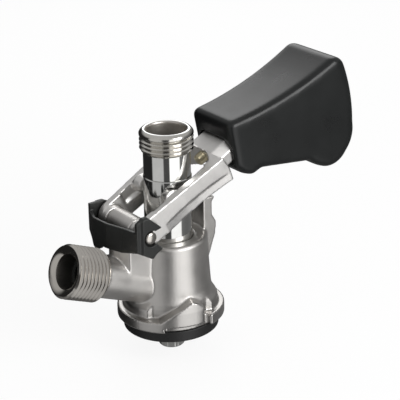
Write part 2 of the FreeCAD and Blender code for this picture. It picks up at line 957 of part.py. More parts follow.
def lever_fork():
    arms = cut(
        "ForkArms",
        fork_blank(),
        fork_window(),
        outer_web("WebNear", -1),
        outer_web("WebFar", 1),
        inner_ledge(),
    )
    collar = cut("CollarTrimmed", collar_form(), fork_window_copy())
    tongue = box(
        "Tongue",
        (collar_start + (collar_end - collar_start) / 2, -tongue_half_width, -collar_low),
        (tongue_end, tongue_half_width, collar_high),
    )
    hub_start = boss_half_length + hub_gap
    hub_length = arm_inner + hub_sink - hub_start
    lug_start = drive_flat + lug_gap
    lug_length = arm_inner + hub_sink - lug_start
    solids = [arms, collar, tongue]
    for name, side, way in (("Near", -1, "-y"), ("Far", 1, "y")):
        solids.append(cylinder("Hub" + name, hub_radius, (0, side * hub_start, 0), hub_length, way))
        lug_place = (lug_out, side * lug_start, lug_up)
        solids.append(cone("Lug" + name, lug_end_radius, lug_radius, lug_place, lug_length, way))
    form = fuse("ForkForm", *solids)
    pin_bore = cylinder("PinBore", pin_radius + fit_turn, (0, -pin_half_length, 0), 2 * pin_half_length, "y")
    latch_bore = cylinder("LatchBore", latch_radius + fit_turn, (0, 0, latch_up), tongue_end, "x")
    bore_start = latch_head_start - latch_forward - latch_stop_gap
    spring_bore = cylinder(
        "SpringBore", latch_head_radius + spring_bore_play, (bore_start, 0, latch_up), tongue_end, "x"
    )
    limit = box("BoreLimit", (window_radius, -arm_inner, -arm_half_height), (tongue_end, arm_inner, arm_half_height))
    bores = common("LatchBores", fuse("LatchBoresAll", latch_bore, spring_bore), limit)
    return on_lever(cut("lever_fork", form, pin_bore, bores))


def fork_window_copy():
    centre = window_end - window_radius
    return cylinder("CollarTrim", window_radius, (centre, 0, -2 * arm_half_height), 4 * arm_half_height)


def latch_plunger():
    tip = cylinder("PlungerTip", latch_radius, (latch_tip, 0, latch_up), latch_head_start - latch_tip, "x")
    tip_x = number(latch_tip)
    near = 0.1

    def front_edge(middle, edge):
        return abs(edge.BoundBox.XMin - tip_x) < near and edge.BoundBox.XLength < near

    eased = soften("Chamfer", "PlungerEased", tip, latch_tip_chamfer, front_edge)
    head = cylinder("PlungerHead", latch_head_radius, (latch_head_start, 0, latch_up), latch_head_length, "x")
    rod = cylinder("PlungerRod", rod_radius, (latch_head_start, 0, latch_up), rod_end - latch_head_start, "x")
    return on_lever(fuse("latch_plunger", eased, head, rod))


def latch_spring():
    """Coil envelope between the plunger's head and the plug."""
    start = latch_head_start + latch_head_length + latch_pull + latch_stop_gap
    end = tongue_end - plug_length
    outer = cylinder("SpringOuter", latch_head_radius, (start, 0, latch_up), end - start, "x")
    inner_radius = latch_head_radius - 2 * spring_wire
    inner = cylinder("SpringInner", inner_radius, (start, 0, latch_up), end - start, "x")
    return on_lever(cut("latch_spring", outer, inner))


def latch_plug():
    start = tongue_end - plug_length
    outer = cylinder("PlugOuter", latch_head_radius + spring_bore_play, (start, 0, latch_up), plug_length, "x")
    hole = cylinder("PlugHole", rod_radius + fit_slide, (start, 0, latch_up), plug_length, "x")
    return on_lever(cut("latch_plug", outer, hole))


# Grip, drawn on the lever's axes
grip_front_out = size("grip_front_out", 56.2)
grip_front_high = size("grip_front_high", 14.2)
grip_top_via_out = size("grip_top_via_out", 83.0)
grip_top_via_high = size("grip_top_via_high", 7.2)
grip_crown_out = size("grip_crown_out", 113.4)
grip_crown_high = size("grip_crown_high", 4.8)
grip_crown_via_out = size("grip_crown_via_out", 117.0)
grip_crown_via_high = size("grip_crown_via_high", 2.9)
grip_end_out = size("grip_end_out", 118.2)
grip_end_high = size("grip_end_high", -1.2)
grip_end_via_out = size("grip_end_via_out", 116.0)
grip_end_via_high = size("grip_end_via_high", -14.6)
grip_tail_out = size("grip_tail_out", 110.9)
grip_tail_low = size("grip_tail_low", -28.9)
grip_tail_via_out = size("grip_tail_via_out", 107.8)
grip_tail_via_low = size("grip_tail_via_low", -34.9)
grip_heel_out = size("grip_heel_out", 101.8)
grip_heel_low = size("grip_heel_low", -39.2)
grip_heel_via_out = size("grip_heel_via_out", 95.4)
grip_heel_via_low = size("grip_heel_via_low", -41.0)
grip_hook_out = size("grip_hook_out", 89.4)
grip_hook_low = size("grip_hook_low", -38.9)
grip_hook_via_out = size("grip_hook_via_out", 85.7)
grip_hook_via_low = size("grip_hook_via_low", -34.6)
grip_rest_end = size("grip_rest_end", 83.1)
grip_rest_end_low = size("grip_rest_end_low", -29.8)
grip_rest_start = size("grip_rest_start", 61.2)
grip_foot_low = size("grip_foot_low", -15.4)
grip_foot_out = size("grip_foot_out", 56.2)
grip_toe_out = size("grip_toe_out", 52.6)
grip_toe_low = size("grip_toe_low", -11.6)
grip_front_low_out = size("grip_front_low_out", 50.2)
grip_front_low = size("grip_front_low", -6.4)
grip_front_half = size("grip_front_half", 13.6)
grip_wide_half = size("grip_wide_half", 17.0)
grip_round = size("grip_round", 3.0)
guide_play = size("guide_play", 0.35)
guide_end_play = size("guide_end_play", 1.6)
screw_out = size("screw_out", 86.0)
screw_radius = size("screw_radius", 1.5)
screw_head_radius = size("screw_head_radius", 2.8)
screw_head_length = size("screw_head_length", 2.4)


def grip_blank():
    """Side outline met by the flared plan, with all its edges rounded."""
    side_outline = [
        (grip_front_low_out, grip_front_low),
        (grip_front_out, grip_front_high, grip_top_via_out, grip_top_via_high),
        (grip_crown_out, grip_crown_high, grip_crown_via_out, grip_crown_via_high),
        (grip_end_out, grip_end_high, grip_end_via_out, grip_end_via_high),
        (grip_tail_out, grip_tail_low, grip_tail_via_out, grip_tail_via_low),
        (grip_heel_out, grip_heel_low, grip_heel_via_out, grip_heel_via_low),
        (grip_hook_out, grip_hook_low, grip_hook_via_out, grip_hook_via_low),
        (grip_rest_end, grip_rest_end_low),
        (grip_rest_start, grip_foot_low),
        (grip_foot_out, grip_foot_low),
        (grip_toe_out, grip_toe_low),
    ]
    side = pad("GripSide", "XZ_Plane", side_outline, 4 * grip_wide_half)
    far_out = grip_end_out + grip_round
    plan_outline = [
        (grip_front_low_out - grip_round, -grip_front_half),
        (far_out, -grip_wide_half),
        (far_out, grip_wide_half),
        (grip_front_low_out - grip_round, grip_front_half),
    ]
    plan = pad("GripPlan", "XY_Plane", plan_outline, 4 * grip_end_out)
    blank = common("GripBlank", side, plan)
    return soften("Fillet", "GripRounded", blank, grip_round, lambda middle, edge: True)


def grip_shell():
    wide = collar_half_width + guide_play
    flat = collar_flat + guide_play
    guide_outline = [
        (-wide, -(collar_low + guide_play)),
        (wide, -(collar_low + guide_play)),
        (wide, collar_side_high + guide_play),
        (flat, collar_high + guide_play),
        (-flat, collar_high + guide_play),
        (-wide, collar_side_high + guide_play),
    ]
    guide = pad("GripGuide", "YZ_Plane", guide_outline, collar_end + guide_end_play - collar_start, offset=collar_start)
    slot = box(
        "GripSlot",
        (collar_start, -(tongue_half_width + guide_play), -(collar_low + guide_play)),
        (tongue_end + guide_end_play, tongue_half_width + guide_play, collar_high + guide_play),
    )
    rod_hole = cylinder("RodHole", rod_radius + fit_seat, (tongue_end, 0, latch_up), rod_end - tongue_end, "x")
    screw_hole = cylinder("ScrewHole", screw_head_radius + fit_seat, (screw_out, 0, 4 * grip_hook_low), -4 * grip_hook_low - screw_drop, "z")
    shank_hole = cylinder("ShankHole", screw_radius + fit_seat, (screw_out, 0, -screw_drop), screw_drop + latch_up - rod_radius, "z")
    return on_lever(cut("grip_shell", grip_blank(), guide, slot, rod_hole, screw_hole, shank_hole))


screw_drop = size("screw_drop", 20.0)


def grip_screw():
    head = cylinder("ScrewHead", screw_head_radius, (screw_out, 0, -screw_drop - screw_head_length), screw_head_length)
    shank = cylinder("ScrewShank", screw_radius, (screw_out, 0, -screw_drop), screw_drop + latch_up - rod_radius)
    return on_lever(fuse("grip_screw", head, shank))


# Moulded clip that snaps on the hinge pin's ends
ear_gap = size("ear_gap", 0.3)
clip_out = size("clip_out", 17.1)
clip_low = size("clip_low", 43.4)
lobe_start = size("lobe_start", 3.0)
lobe_end = size("lobe_end", 12.0)
lobe_drop = size("lobe_drop", 2.4)
far_ear_drop = size("far_ear_drop", 2.6)
clip_high = size("clip_high", 54.6)
clip_thick = size("clip_thick", 1.3)
clip_fold_back = size("clip_fold_back", 27.5)
clip_near_back = size("clip_near_back", 29.2)
clip_near_side = size("clip_near_side", 8.0)
clip_nose_back = size("clip_nose_back", 31.6)
clip_far_back = size("clip_far_back", 32.2)
clip_far_side = size("clip_far_side", 9.0)
clip_far_fold_back = size("clip_far_fold_back", 29.2)
clip_ear_inner = size("clip_ear_inner", 15.4)
jaw_top = size("jaw_top", 60.5)
jaw_top_back = size("jaw_top_back", 24.5)
jaw_shoulder = size("jaw_shoulder", 58.4)
jaw_top_front = size("jaw_top_front", 22.3)
jaw_upper_tip_back = size("jaw_upper_tip_back", 15.3)
jaw_upper_tip = size("jaw_upper_tip", 54.4)
jaw_upper_inner = size("jaw_upper_inner", 53.6)
jaw_inner_back = size("jaw_inner_back", 18.6)
jaw_lower_inner = size("jaw_lower_inner", 48.4)
jaw_lower_tip_back = size("jaw_lower_tip_back", 14.9)
jaw_lower_tip = size("jaw_lower_tip", 45.1)
jaw_lower_bend_back = size("jaw_lower_bend_back", 18.7)
jaw_lower_bend = size("jaw_lower_bend", 43.1)
jaw_bottom_back = size("jaw_bottom_back", 20.4)
jaw_bottom = size("jaw_bottom", 41.4)
jaw_heel = size("jaw_heel", 45.7)


def clip_ear(name, low, back, drop):
    """Side plate with its two jaws; the drop lowers its top corner."""
    outline = [
        (-back, jaw_heel),
        (-back, jaw_shoulder - drop / 4),
        (-jaw_top_back, jaw_top - drop),
        (-jaw_top_front, jaw_top - drop),
        (-jaw_upper_tip_back, jaw_upper_tip),
        (-jaw_inner_back, jaw_upper_inner),
        (-pivot_back, pivot_height),
        (-jaw_inner_back, jaw_lower_inner),
        (-jaw_lower_tip_back, jaw_lower_tip),
        (-jaw_lower_bend_back, jaw_lower_bend),
        (-jaw_bottom_back, jaw_bottom),
    ]
    thick = clip_out - clip_ear_inner
    return pad(name, "XZ_Plane", outline, thick, offset=-1 * (low + thick))


def clip_band():
    """Bowed band between the ears, with the finger lobe on its far half."""
    plan_outline = [
        (-clip_fold_back, -clip_out),
        (-clip_near_back, -clip_near_side),
        (-clip_nose_back, 0),
        (-clip_far_back, clip_far_side),
        (-clip_far_fold_back, clip_out),
        (-(clip_fold_back - clip_thick), clip_out),
        (-(clip_fold_back - clip_thick), clip_ear_inner),
        (-(clip_far_fold_back - clip_thick), clip_ear_inner),
        (-(clip_far_back - clip_thick), clip_far_side),
        (-(clip_nose_back - clip_thick), 0),
        (-(clip_near_back - clip_thick), -clip_near_side),
        (-(clip_fold_back - clip_thick), -clip_ear_inner),
        (-(clip_fold_back - clip_thick), -clip_out),
    ]
    plan = pad("ClipPlan", "XY_Plane", plan_outline, jaw_top - jaw_bottom + clip_out, offset=jaw_bottom - clip_out / 2)
    face_outline = [
        (-clip_out, jaw_heel),
        (-clip_near_side, clip_low),
        (lobe_start, clip_low, (lobe_start + lobe_end) / 2, clip_low - lobe_drop),
        (lobe_end, clip_low),
        (clip_out, jaw_heel),
        (clip_out, clip_high),
        (-clip_out, clip_high),
    ]
    face = pad("ClipFace", "YZ_Plane", face_outline, 2 * clip_far_back, offset=-2 * clip_far_back)
    return common("ClipBand", plan, face)


def hinge_clip():
    near_ear = clip_ear("ClipEarNear", -clip_out, clip_fold_back, 0)
    far_ear = clip_ear("ClipEarFar", clip_ear_inner, clip_far_fold_back, far_ear_drop)
    form = fuse("ClipForm", clip_band(), near_ear, far_ear)
    grip_hole = cylinder(
        "ClipHole", pin_radius + fit_seat, (-pivot_back, -pin_half_length, pivot_height), 2 * pin_half_length, "y"
    )
    return cut("hinge_clip", form, grip_hole)


nodes = [
    coupler_body(),
    keg_seal(),
    hinge_pin(),
    hinge_clip(),
    gas_check_valve(),
    gas_valve_retainer(),
    probe(),
    probe_ring("probe_ring_upper", upper_ring_height),
    probe_ring("probe_ring_lower", upper_ring_height - ring_spacing),
    probe_tip(),
    tip_seal(),
    outlet_ring(),
    beer_outlet(),
    ball_cage(),
    check_ball(),
    lever_fork(),
    latch_spring(),
    latch_plug(),
    latch_plunger(),
    grip_shell(),
    grip_screw(),
]

doc.recompute()
for item in doc.Objects:
    if "Invalid" in item.State or "Error" in item.State:
        raise RuntimeError(f"{item.Label} failed: {item.State}")
for node in nodes:
    if node.Shape.isNull() or not node.Shape.isValid() or len(node.Shape.Solids) != 1:
        raise RuntimeError(f"{node.Label} is not one valid solid")

os.makedirs("parts", exist_ok=True)
for node in nodes:
    node.Shape.exportStep(f"parts/{node.Label}.step")
    print(f"{node.Label:22s} {node.Shape.Volume:10.1f} mm3")
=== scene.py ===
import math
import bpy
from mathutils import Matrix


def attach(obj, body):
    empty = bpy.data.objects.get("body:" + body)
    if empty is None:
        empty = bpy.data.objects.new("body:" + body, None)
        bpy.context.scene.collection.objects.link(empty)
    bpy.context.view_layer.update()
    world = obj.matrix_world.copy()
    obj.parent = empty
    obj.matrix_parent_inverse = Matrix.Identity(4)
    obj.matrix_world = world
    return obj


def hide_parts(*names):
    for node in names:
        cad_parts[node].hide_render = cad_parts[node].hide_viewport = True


bl_info = {
    "name": "Keg coupler",
    "version": (1, 0, 0),
    "blender": (4, 5, 0),
    "location": "3D View > Sidebar > Coupler",
    "description": "Dresses the packed keg coupler with cast skins, cut threads and finishes",
    "category": "Object",
}

import bpy
from bpy.props import FloatProperty, FloatVectorProperty, IntProperty, PointerProperty
from mathutils import Matrix, Vector

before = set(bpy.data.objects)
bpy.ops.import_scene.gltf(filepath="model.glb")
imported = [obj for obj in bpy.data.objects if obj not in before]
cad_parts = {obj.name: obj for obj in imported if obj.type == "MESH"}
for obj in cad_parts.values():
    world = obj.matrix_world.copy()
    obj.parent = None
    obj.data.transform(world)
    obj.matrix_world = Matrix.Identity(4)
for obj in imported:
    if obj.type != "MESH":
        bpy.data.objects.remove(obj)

# Lengths are in metres. Z runs up the probe, X towards the grip and Y to the far side.

MILLIMETRE = 0.001
QUARTER_TURN = math.pi / 2
HALF = 0.5
EVEN = (1.0, 1.0, 1.0)
NEAR_AND_FAR = (-1, 1)

# How closely doubled vertices lie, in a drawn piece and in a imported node
DRAWN_MERGE = 0.001 * MILLIMETRE
PACKED_MERGE = 0.002 * MILLIMETRE

# Faceting and shading
TURNED_STEPS = 160
PIN_STEPS = 64
THREAD_STEPS = 72
BORE_SIDES = 64
POCKET_SIDES = 48
WIRE_SIDES = 12
COIL_STEPS = 28
TURNED_SHADE = 32.0
CUT_SHADE = 50.0

# Hinge, and the lever in its raised rest pose
PIVOT = Vector((-0.021, 0.0, 0.051))
LEVER_ANGLE = math.radians(27.4)

# Hose thread: rounding of its root and crest, and where its flank starts and ends as shares of the pitch
THREAD_ROUND = 0.0001
FLANK_START = 0.08
FLANK_END = 0.42
CREST_START = 0.47
THREAD_LEAD = 2.5
SPARE_TURNS = 5

# Gas inlet, along its own axis from the probe's axis
INLET_HEIGHT = 0.0174
INLET_ANGLE = math.radians(22.4)
INLET_ROOT = 0.0396
INLET_JOINT = 0.0400
INLET_THREAD_START = 0.0415
INLET_THREAD_END = 0.0560
INLET_FACE = 0.0571
INLET_SEAT_FLOOR = 0.0556
INLET_BORE_TOP = 0.0552
INLET_FLOOR = 0.0421
INLET_NECK_RADIUS = 0.0092
INLET_RADIUS = 0.0115
INLET_FACE_RADIUS = 0.0107
INLET_SEAT_RADIUS = 0.0100
INLET_SEAT_INNER = 0.0075
INLET_BORE = 0.0073
# Faces of the inlet's bore within this radius are painted darker, as painted shade
INLET_PAINTED_SHADE_WITHIN = 0.00745
VALVE_BORE = 0.0058
INLET_ROD_LOW = 0.0390
INLET_ROD_HIGH = 0.0580

# Probe
PROBE_END = 0.0042
PROBE_END_EDGE = 0.0044
PROBE_SHOULDER = 0.0080
PROBE_SHOULDER_TOP = 0.0101
LOWER_GROOVE_LOW = 0.0355
LOWER_GROOVE_HIGH = 0.0377
UPPER_GROOVE_LOW = 0.0383
UPPER_GROOVE_HIGH = 0.0405
PROBE_EDGE = 0.0686
PROBE_TOP = 0.0689
SPIGOT_GROOVE_LOW = 0.06978
SPIGOT_GROOVE_HIGH = 0.07102
SPIGOT_TOP = 0.0722
NECK_TOP = 0.0694
NECK_LOW = 0.0662
PROBE_BORE_TOP = 0.0640
TIP_SOCKET_TOP = 0.0130
TIP_SOCKET = 0.00502
PROBE_END_INNER = 0.0080
PROBE_END_RADIUS = 0.0082
PROBE_RADIUS = 0.0103
PROBE_EDGE_RADIUS = 0.0100
RING_GROOVE_RADIUS = 0.00833
SPIGOT_RADIUS = 0.00878
SPIGOT_GROOVE_RADIUS = 0.00756
BALL_SEAT_RADIUS = 0.0064
NECK_BORE = 0.0036
PROBE_BORE = 0.0058
SLOT_REACH = 0.02
SLOT_LOW = 0.05908
SLOT_HIGH = 0.06668
DRIVE_FLAT = 0.0079

# Beer outlet, with a plain rounded lip over its thread
OUTLET_FOOT = 0.0692
OUTLET_RELIEF = 0.0795
OUTLET_THREAD_START = 0.0809
OUTLET_THREAD_END = 0.0876
OUTLET_SHOULDER = 0.08214
OUTLET_SOCKET = 0.0088
OUTLET_FOOT_RADIUS = 0.0097
OUTLET_RADIUS = 0.0100
OUTLET_THREAD_RADIUS = 0.0115
OUTLET_BORE = 0.00844
OUTLET_ROD_LOW = 0.0680
OUTLET_ROD_HIGH = 0.0905
OUTLET_BORE_WITHIN = 0.0089
OUTLET_BAND_LOW = 0.0798
OUTLET_BAND_HIGH = 0.0893
OUTLET_BAND_RADIUS = 0.0101
LIP_BORE = 0.0085
LIP_LOW = 0.0870
LIP_LOW_RADIUS = 0.01142
LIP_RADIUS = 0.01152
LIP_BAND_LOW = 0.0873
LIP_BAND_HIGH = 0.0878
LIP_SHOULDER = ((0.0113, 0.0883), (0.0109, 0.0888), (0.0104, 0.08925))
LIP_CROWN = ((0.0098, 0.0895), (0.0093, 0.0895))
LIP_MOUTH = ((0.0089, 0.08935), (0.00862, 0.0890), (0.00852, 0.0885))
LIP_BORE_TOP = 0.0880

# Latch, along the lever from the pivot
LATCH_UP = 0.00065
LATCH_BORE = 0.00257
LATCH_BORE_START = 0.0300
SPRING_BORE = 0.00336
SPRING_BORE_START = 0.0521
BORE_END = 0.0810
SPRING_START = 0.0583
SPRING_END = 0.0760
SPRING_RADIUS = 0.0032

# Grip's pocket, along the lever from the pivot, with its half widths and heights
GUIDE_START = 0.0430
GUIDE_END = 0.0656
GUIDE_WIDE = 0.01126
GUIDE_FLAT = 0.00781
GUIDE_LOW = -0.00396
GUIDE_SIDE_HIGH = 0.00186
GUIDE_HIGH = 0.00526
TONGUE_WIDE = 0.00686
TONGUE_END = 0.0816
ROD_HOLE = 0.00163
ROD_HOLE_START = 0.0800
ROD_HOLE_END = 0.0921
SCREW_OUT = 0.086
SCREW_HOLE = 0.00283
SCREW_HOLE_LOW = -0.0600
SCREW_HOLE_HIGH = -0.0200

# Hinge pin's domed heads
PIN_SHANK = 0.00245
PIN_HEAD = 0.00275
PIN_HEAD_SEAT = 0.0164
PIN_REACH = 0.0174
PIN_CROWN = 0.0010
DOME_TURNS = (0.0, 0.35, 0.7, 1.05, 1.3)

# Clip: raised pads on its jaws, with a pocket round each head of the pin
PAD_BACK = -0.0256
PAD_OUT = 0.0170
PAD_FACING = 0.99
PAD_MARGIN = 0.00045
PAD_RISE = 0.0011
POCKET_RADIUS = 0.0035
POCKET_DEPTH = 0.0030
POCKET_OUT = 0.0178

# Keg seal's eased edges
SEAL_EDGE = 0.0004
SEAL_EDGE_STEPS = 3
SEAL_EDGE_ANGLE = math.radians(40.0)

# Finishes: scales of the patterns and how far they vary
NOISE_DETAIL = 4.0
NOISE_ROUGHNESS = 0.55
BROAD_DETAIL = 3.0
NOISE_LOW = 0.3
NOISE_HIGH = 0.7
METAL_BROAD = 90.0
METAL_DARKEST = 0.90
METAL_LIGHTEST = 1.06
METAL_EDGE_LIGHT = 1.12
METAL_EDGE_ROUGH = 0.7
# Below this height the body is smoother, as turned metal, and its colour is darkened, which is painted shade
FOOT_HEIGHT = 0.0136
FOOT_ROUGH = 0.76
FOOT_PAINTED_SHADE = 0.80
PIT_SCALE = 620.0
PIT_INNER = 0.02
PIT_OUTER = 0.16
PLASTIC_BROAD = 60.0
PLASTIC_DARKEST = 0.88
PLASTIC_LIGHTEST = 1.12
PLASTIC_EDGE_LIGHT = 1.6
PLASTIC_EDGE_ROUGH = 0.8
EDGE_START = 0.51
EDGE_END = 0.56
# Share of the machined colour on the inlet's bore: a darker copy of the same steel, which is painted shade
BORE_PAINTED_SHADE_SHARE = 0.3
# Share of the polished colour on the probe tube: a darker copy of the same steel, which is painted shade
PROBE_PAINTED_SHADE_SHARE = 0.82
PIN_MARKS = (1.0, 4.0, 1.0)

# Camera: its turn, rise and roll, and how far its target sits from the middle of the frame, in pixels
CAMERA_TURN = math.radians(-36.0)
CAMERA_RISE = math.radians(22.33)
CAMERA_ROLL = math.radians(-1.093)
CAMERA_DISTANCE = 0.6295
CAMERA_TARGET = Vector((0.0, 0.0, 0.045))
CAMERA_NEAR = 0.01
FOCAL_PIXELS = 1477.0
FRAME_PIXELS = 400.0
SHIFT_RIGHT = 31.32
SHIFT_UP = 26.06
SENSOR_WIDTH = 36.0

# Studio: floor and lamps, and the panels round the object, from -X through -Y,
# as shares of a turn with their levels
FLOOR_SIZE = 3.0
FLOOR_HEIGHT = -0.0107
FLOOR_COLOUR = (0.86, 0.86, 0.86, 1.0)
FLOOR_GRAIN = 40.0
FLOOR_SMOOTHEST = 0.86
FLOOR_ROUGHEST = 0.94
FLOOR_GLOW = 1.04
FLOOR_GLOW_SHARE = 0.86
KEY_LAMP_PLACE = (0.16, -0.52, 0.34)
KEY_LAMP_TARGET = (0.0, 0.0, 0.04)
KEY_LAMP_SIZE = 0.35
KEY_LAMP_POWER = 1.9
BACK_LAMP_PLACE = (0.37, 0.46, 0.42)
BACK_LAMP_TARGET = (0.05, 0.0, 0.06)
BACK_LAMP_SIZE = 0.36
BACK_LAMP_POWER = 0.75
WHITE = (1.0, 1.0, 1.0, 1.0)
OVERHEAD_GREY = (0.52, 0.52, 0.52, 1.0)
OVERHEAD_START = 0.25
OVERHEAD_END = 0.60
UNDER_GREY = (0.22, 0.22, 0.22, 1.0)
UNDER_START = -0.85
UNDER_END = -0.50
LEFT_WALL = ((0.0, 0.56), (0.10, 0.54))
DARK_SCREEN = ((0.113, 0.07), (0.180, 0.07))
WHITE_SCREEN = ((0.196, 1.45), (0.320, 1.45))
RIGHT_WALL = ((0.340, 0.20), (0.42, 0.16), (0.55, 0.20), (0.68, 0.12))
BACK_SCREEN = ((0.72, 0.02), (0.935, 0.02))
LEFT_WALL_END = ((0.955, 0.56),)


class CouplerSizes(bpy.types.PropertyGroup):
    pitch: FloatProperty(
        name="Thread pitch",
        description="Rise of the hose threads in one turn",
        default=0.001814,
        unit="LENGTH",
    )
    crest: FloatProperty(
        name="Thread crest",
        description="Radius over the hose threads",
        default=0.01146,
        unit="LENGTH",
    )
    depth: FloatProperty(
        name="Thread depth",
        description="Depth of the hose threads",
        default=0.00116,
        unit="LENGTH",
    )
    body_cell: FloatProperty(
        name="Body cell",
        description="Cell size of the cast body's skin",
        default=0.00042,
        unit="LENGTH",
    )
    body_ease: IntProperty(
        name="Body ease",
        description="Rounds of smoothing on the cast body's edges",
        default=6,
    )
    lever_cell: FloatProperty(
        name="Lever cell",
        description="Cell size of the cast lever's skin",
        default=0.00036,
        unit="LENGTH",
    )
    lever_ease: IntProperty(
        name="Lever ease",
        description="Rounds of smoothing on the cast lever's edges",
        default=2,
    )
    grip_cell: FloatProperty(
        name="Grip cell",
        description="Cell size of the grip's skin",
        default=0.0006,
        unit="LENGTH",
    )
    grip_ease: IntProperty(
        name="Grip ease",
        description="Rounds of smoothing on the grip's edges",
        default=22,
    )
    clip_cell: FloatProperty(
        name="Clip cell",
        description="Cell size of the hinge clip's skin",
        default=0.00028,
        unit="LENGTH",
    )
    clip_ease: IntProperty(
        name="Clip ease",
        description="Rounds of smoothing on the hinge clip's edges",
        default=3,
    )
    coils: IntProperty(
        name="Coils",
        description="Turns of the latch spring",
        default=9,
    )
    wire: FloatProperty(
        name="Wire",
        description="Radius of the latch spring's wire",
        default=0.00036,
        unit="LENGTH",
    )


class CouplerColours(bpy.types.PropertyGroup):
    casting: FloatVectorProperty(
        name="Casting",
        description="Colour of the cast body",
        subtype="COLOR",
        default=(0.63, 0.612, 0.59),
    )
    lever: FloatVectorProperty(
        name="Lever",
        description="Colour of the cast lever",
        subtype="COLOR",
        default=(0.80, 0.785, 0.765),
    )
    polished: FloatVectorProperty(
        name="Polished tube",
        description="Colour of the polished tubes",
        subtype="COLOR",
        default=(0.80, 0.80, 0.78),
    )
    machined: FloatVectorProperty(
        name="Machined",
        description="Colour of the turned inlet",
        subtype="COLOR",
        default=(0.60, 0.57, 0.53),
    )
    thread: FloatVectorProperty(
        name="Outlet thread",
        description="Colour of the outlet's thread",
        subtype="COLOR",
        default=(0.66, 0.64, 0.60),
    )
    rubber: FloatVectorProperty(
        name="Rubber",
        description="Colour of the seals",
        subtype="COLOR",
        default=(0.012, 0.012, 0.012),
    )
    grip: FloatVectorProperty(
        name="Grip",
        description="Colour of the moulded grip",
        subtype="COLOR",
        default=(0.009, 0.010, 0.010),
    )
    clip: FloatVectorProperty(
        name="Clip",
        description="Colour of the hinge clip",
        subtype="COLOR",
        default=(0.022, 0.023, 0.022),
    )
    brass: FloatVectorProperty(
        name="Brass",
        description="Colour of the latch plunger",
        subtype="COLOR",
        default=(0.80, 0.72, 0.50),
    )
    pale: FloatVectorProperty(
        name="Pale plastic",
        description="Colour of the ball and its cage",
        subtype="COLOR",
        default=(0.30, 0.30, 0.29),
    )


def inlet_place():
    """Matrix from a piece drawn along Z to the gas inlet's axis."""
    tilt = Matrix.Rotation(INLET_ANGLE - QUARTER_TURN, 4, "Y")
    return Matrix.Translation((0.0, 0.0, INLET_HEIGHT)) @ tilt


def lever_place():
    """Matrix from a piece drawn on the lever's own axes to the raised lever."""
    return Matrix.Translation(PIVOT) @ Matrix.Rotation(-LEVER_ANGLE, 4, "Y")


def latch_place():
    """Matrix from a piece drawn along Z to the latch's axis on the raised lever."""
    along = Matrix.Rotation(QUARTER_TURN, 4, "Y")
    return lever_place() @ Matrix.Translation((0.0, 0.0, LATCH_UP)) @ along


# Modelling by hand

def deselect():
    """Leave edit mode and select nothing."""
    if bpy.context.mode != "OBJECT":
        bpy.ops.object.mode_set(mode="OBJECT")
    bpy.ops.object.select_all(action="DESELECT")


def activate(piece):
    """Select this piece alone."""
    deselect()
    piece.select_set(True)
    bpy.context.view_layer.objects.active = piece
    return piece


def edit(piece, selected=True):
    """Enter edit mode on this piece, with all or none of it selected."""
    activate(piece)
    bpy.ops.object.mode_set(mode="EDIT")
    bpy.ops.mesh.select_mode(type="VERT")
    bpy.ops.mesh.select_all(action="SELECT" if selected else "DESELECT")


def leave():
    """Go back to object mode."""
    bpy.ops.object.mode_set(mode="OBJECT")


def apply(piece, kind, **settings):
    """Add a modifier with its settings and apply it."""
    activate(piece)
    modifier = piece.modifiers.new(kind.title(), kind)
    for name, value in settings.items():
        setattr(modifier, name, value)
    bpy.ops.object.modifier_apply(modifier=modifier.name)
    return piece


def combine(piece, operation, *tools, **settings):
    """Cut, keep or join each tool on a piece, and remove the tool."""
    for tool in tools:
        apply(piece, "BOOLEAN", operation=operation, object=tool, solver="EXACT", **settings)
        bpy.data.objects.remove(tool)
    if not piece.data.polygons:
        raise RuntimeError(f"{piece.name} came out empty")
    return piece


def copy_of(node, name):
    """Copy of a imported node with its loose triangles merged."""
    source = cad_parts[node]
    piece = bpy.data.objects.new(name, source.data.copy())
    bpy.context.scene.collection.objects.link(piece)
    piece.data.materials.clear()
    edit(piece)
    bpy.ops.mesh.remove_doubles(threshold=PACKED_MERGE)
    leave()
    return piece


def smooth(piece, degrees=TURNED_SHADE):
    """Smooth shading across all but the sharper edges."""
    activate(piece)
    bpy.ops.object.shade_smooth_by_angle(angle=math.radians(degrees))
    return piece


def outward(piece):
    """Merge doubles and turn the faces outwards."""
    edit(piece)
    bpy.ops.mesh.remove_doubles(threshold=DRAWN_MERGE)
    bpy.ops.mesh.normals_make_consistent(inside=False)
    leave()
    return piece


def traced(name, points):
    """Line through the (across, up) points, drawn by extrusion in the XZ plane."""
    deselect()
    places = [Vector((point[0], 0.0, point[1])) for point in points]
    bpy.ops.mesh.primitive_plane_add(size=MILLIMETRE, location=places[0])
    piece = bpy.context.object
    piece.name = name
    piece.data.name = name
    bpy.ops.object.transform_apply(location=True)
    edit(piece)
    bpy.ops.mesh.merge(type="CENTER")
    for here, after in zip(places, places[1:]):
        bpy.ops.mesh.extrude_region_move(TRANSFORM_OT_translate={"value": after - here})
    leave()
    return piece


def turned(name, points, steps=TURNED_STEPS):
    """Closed outline of (radius, height) points spun about Z."""
    piece = traced(name, list(points) + [points[0]])
    edit(piece)
    bpy.ops.mesh.spin(steps=steps, angle=math.tau, center=(0.0, 0.0, 0.0), axis=(0.0, 0.0, 1.0))
    leave()
    return outward(piece)


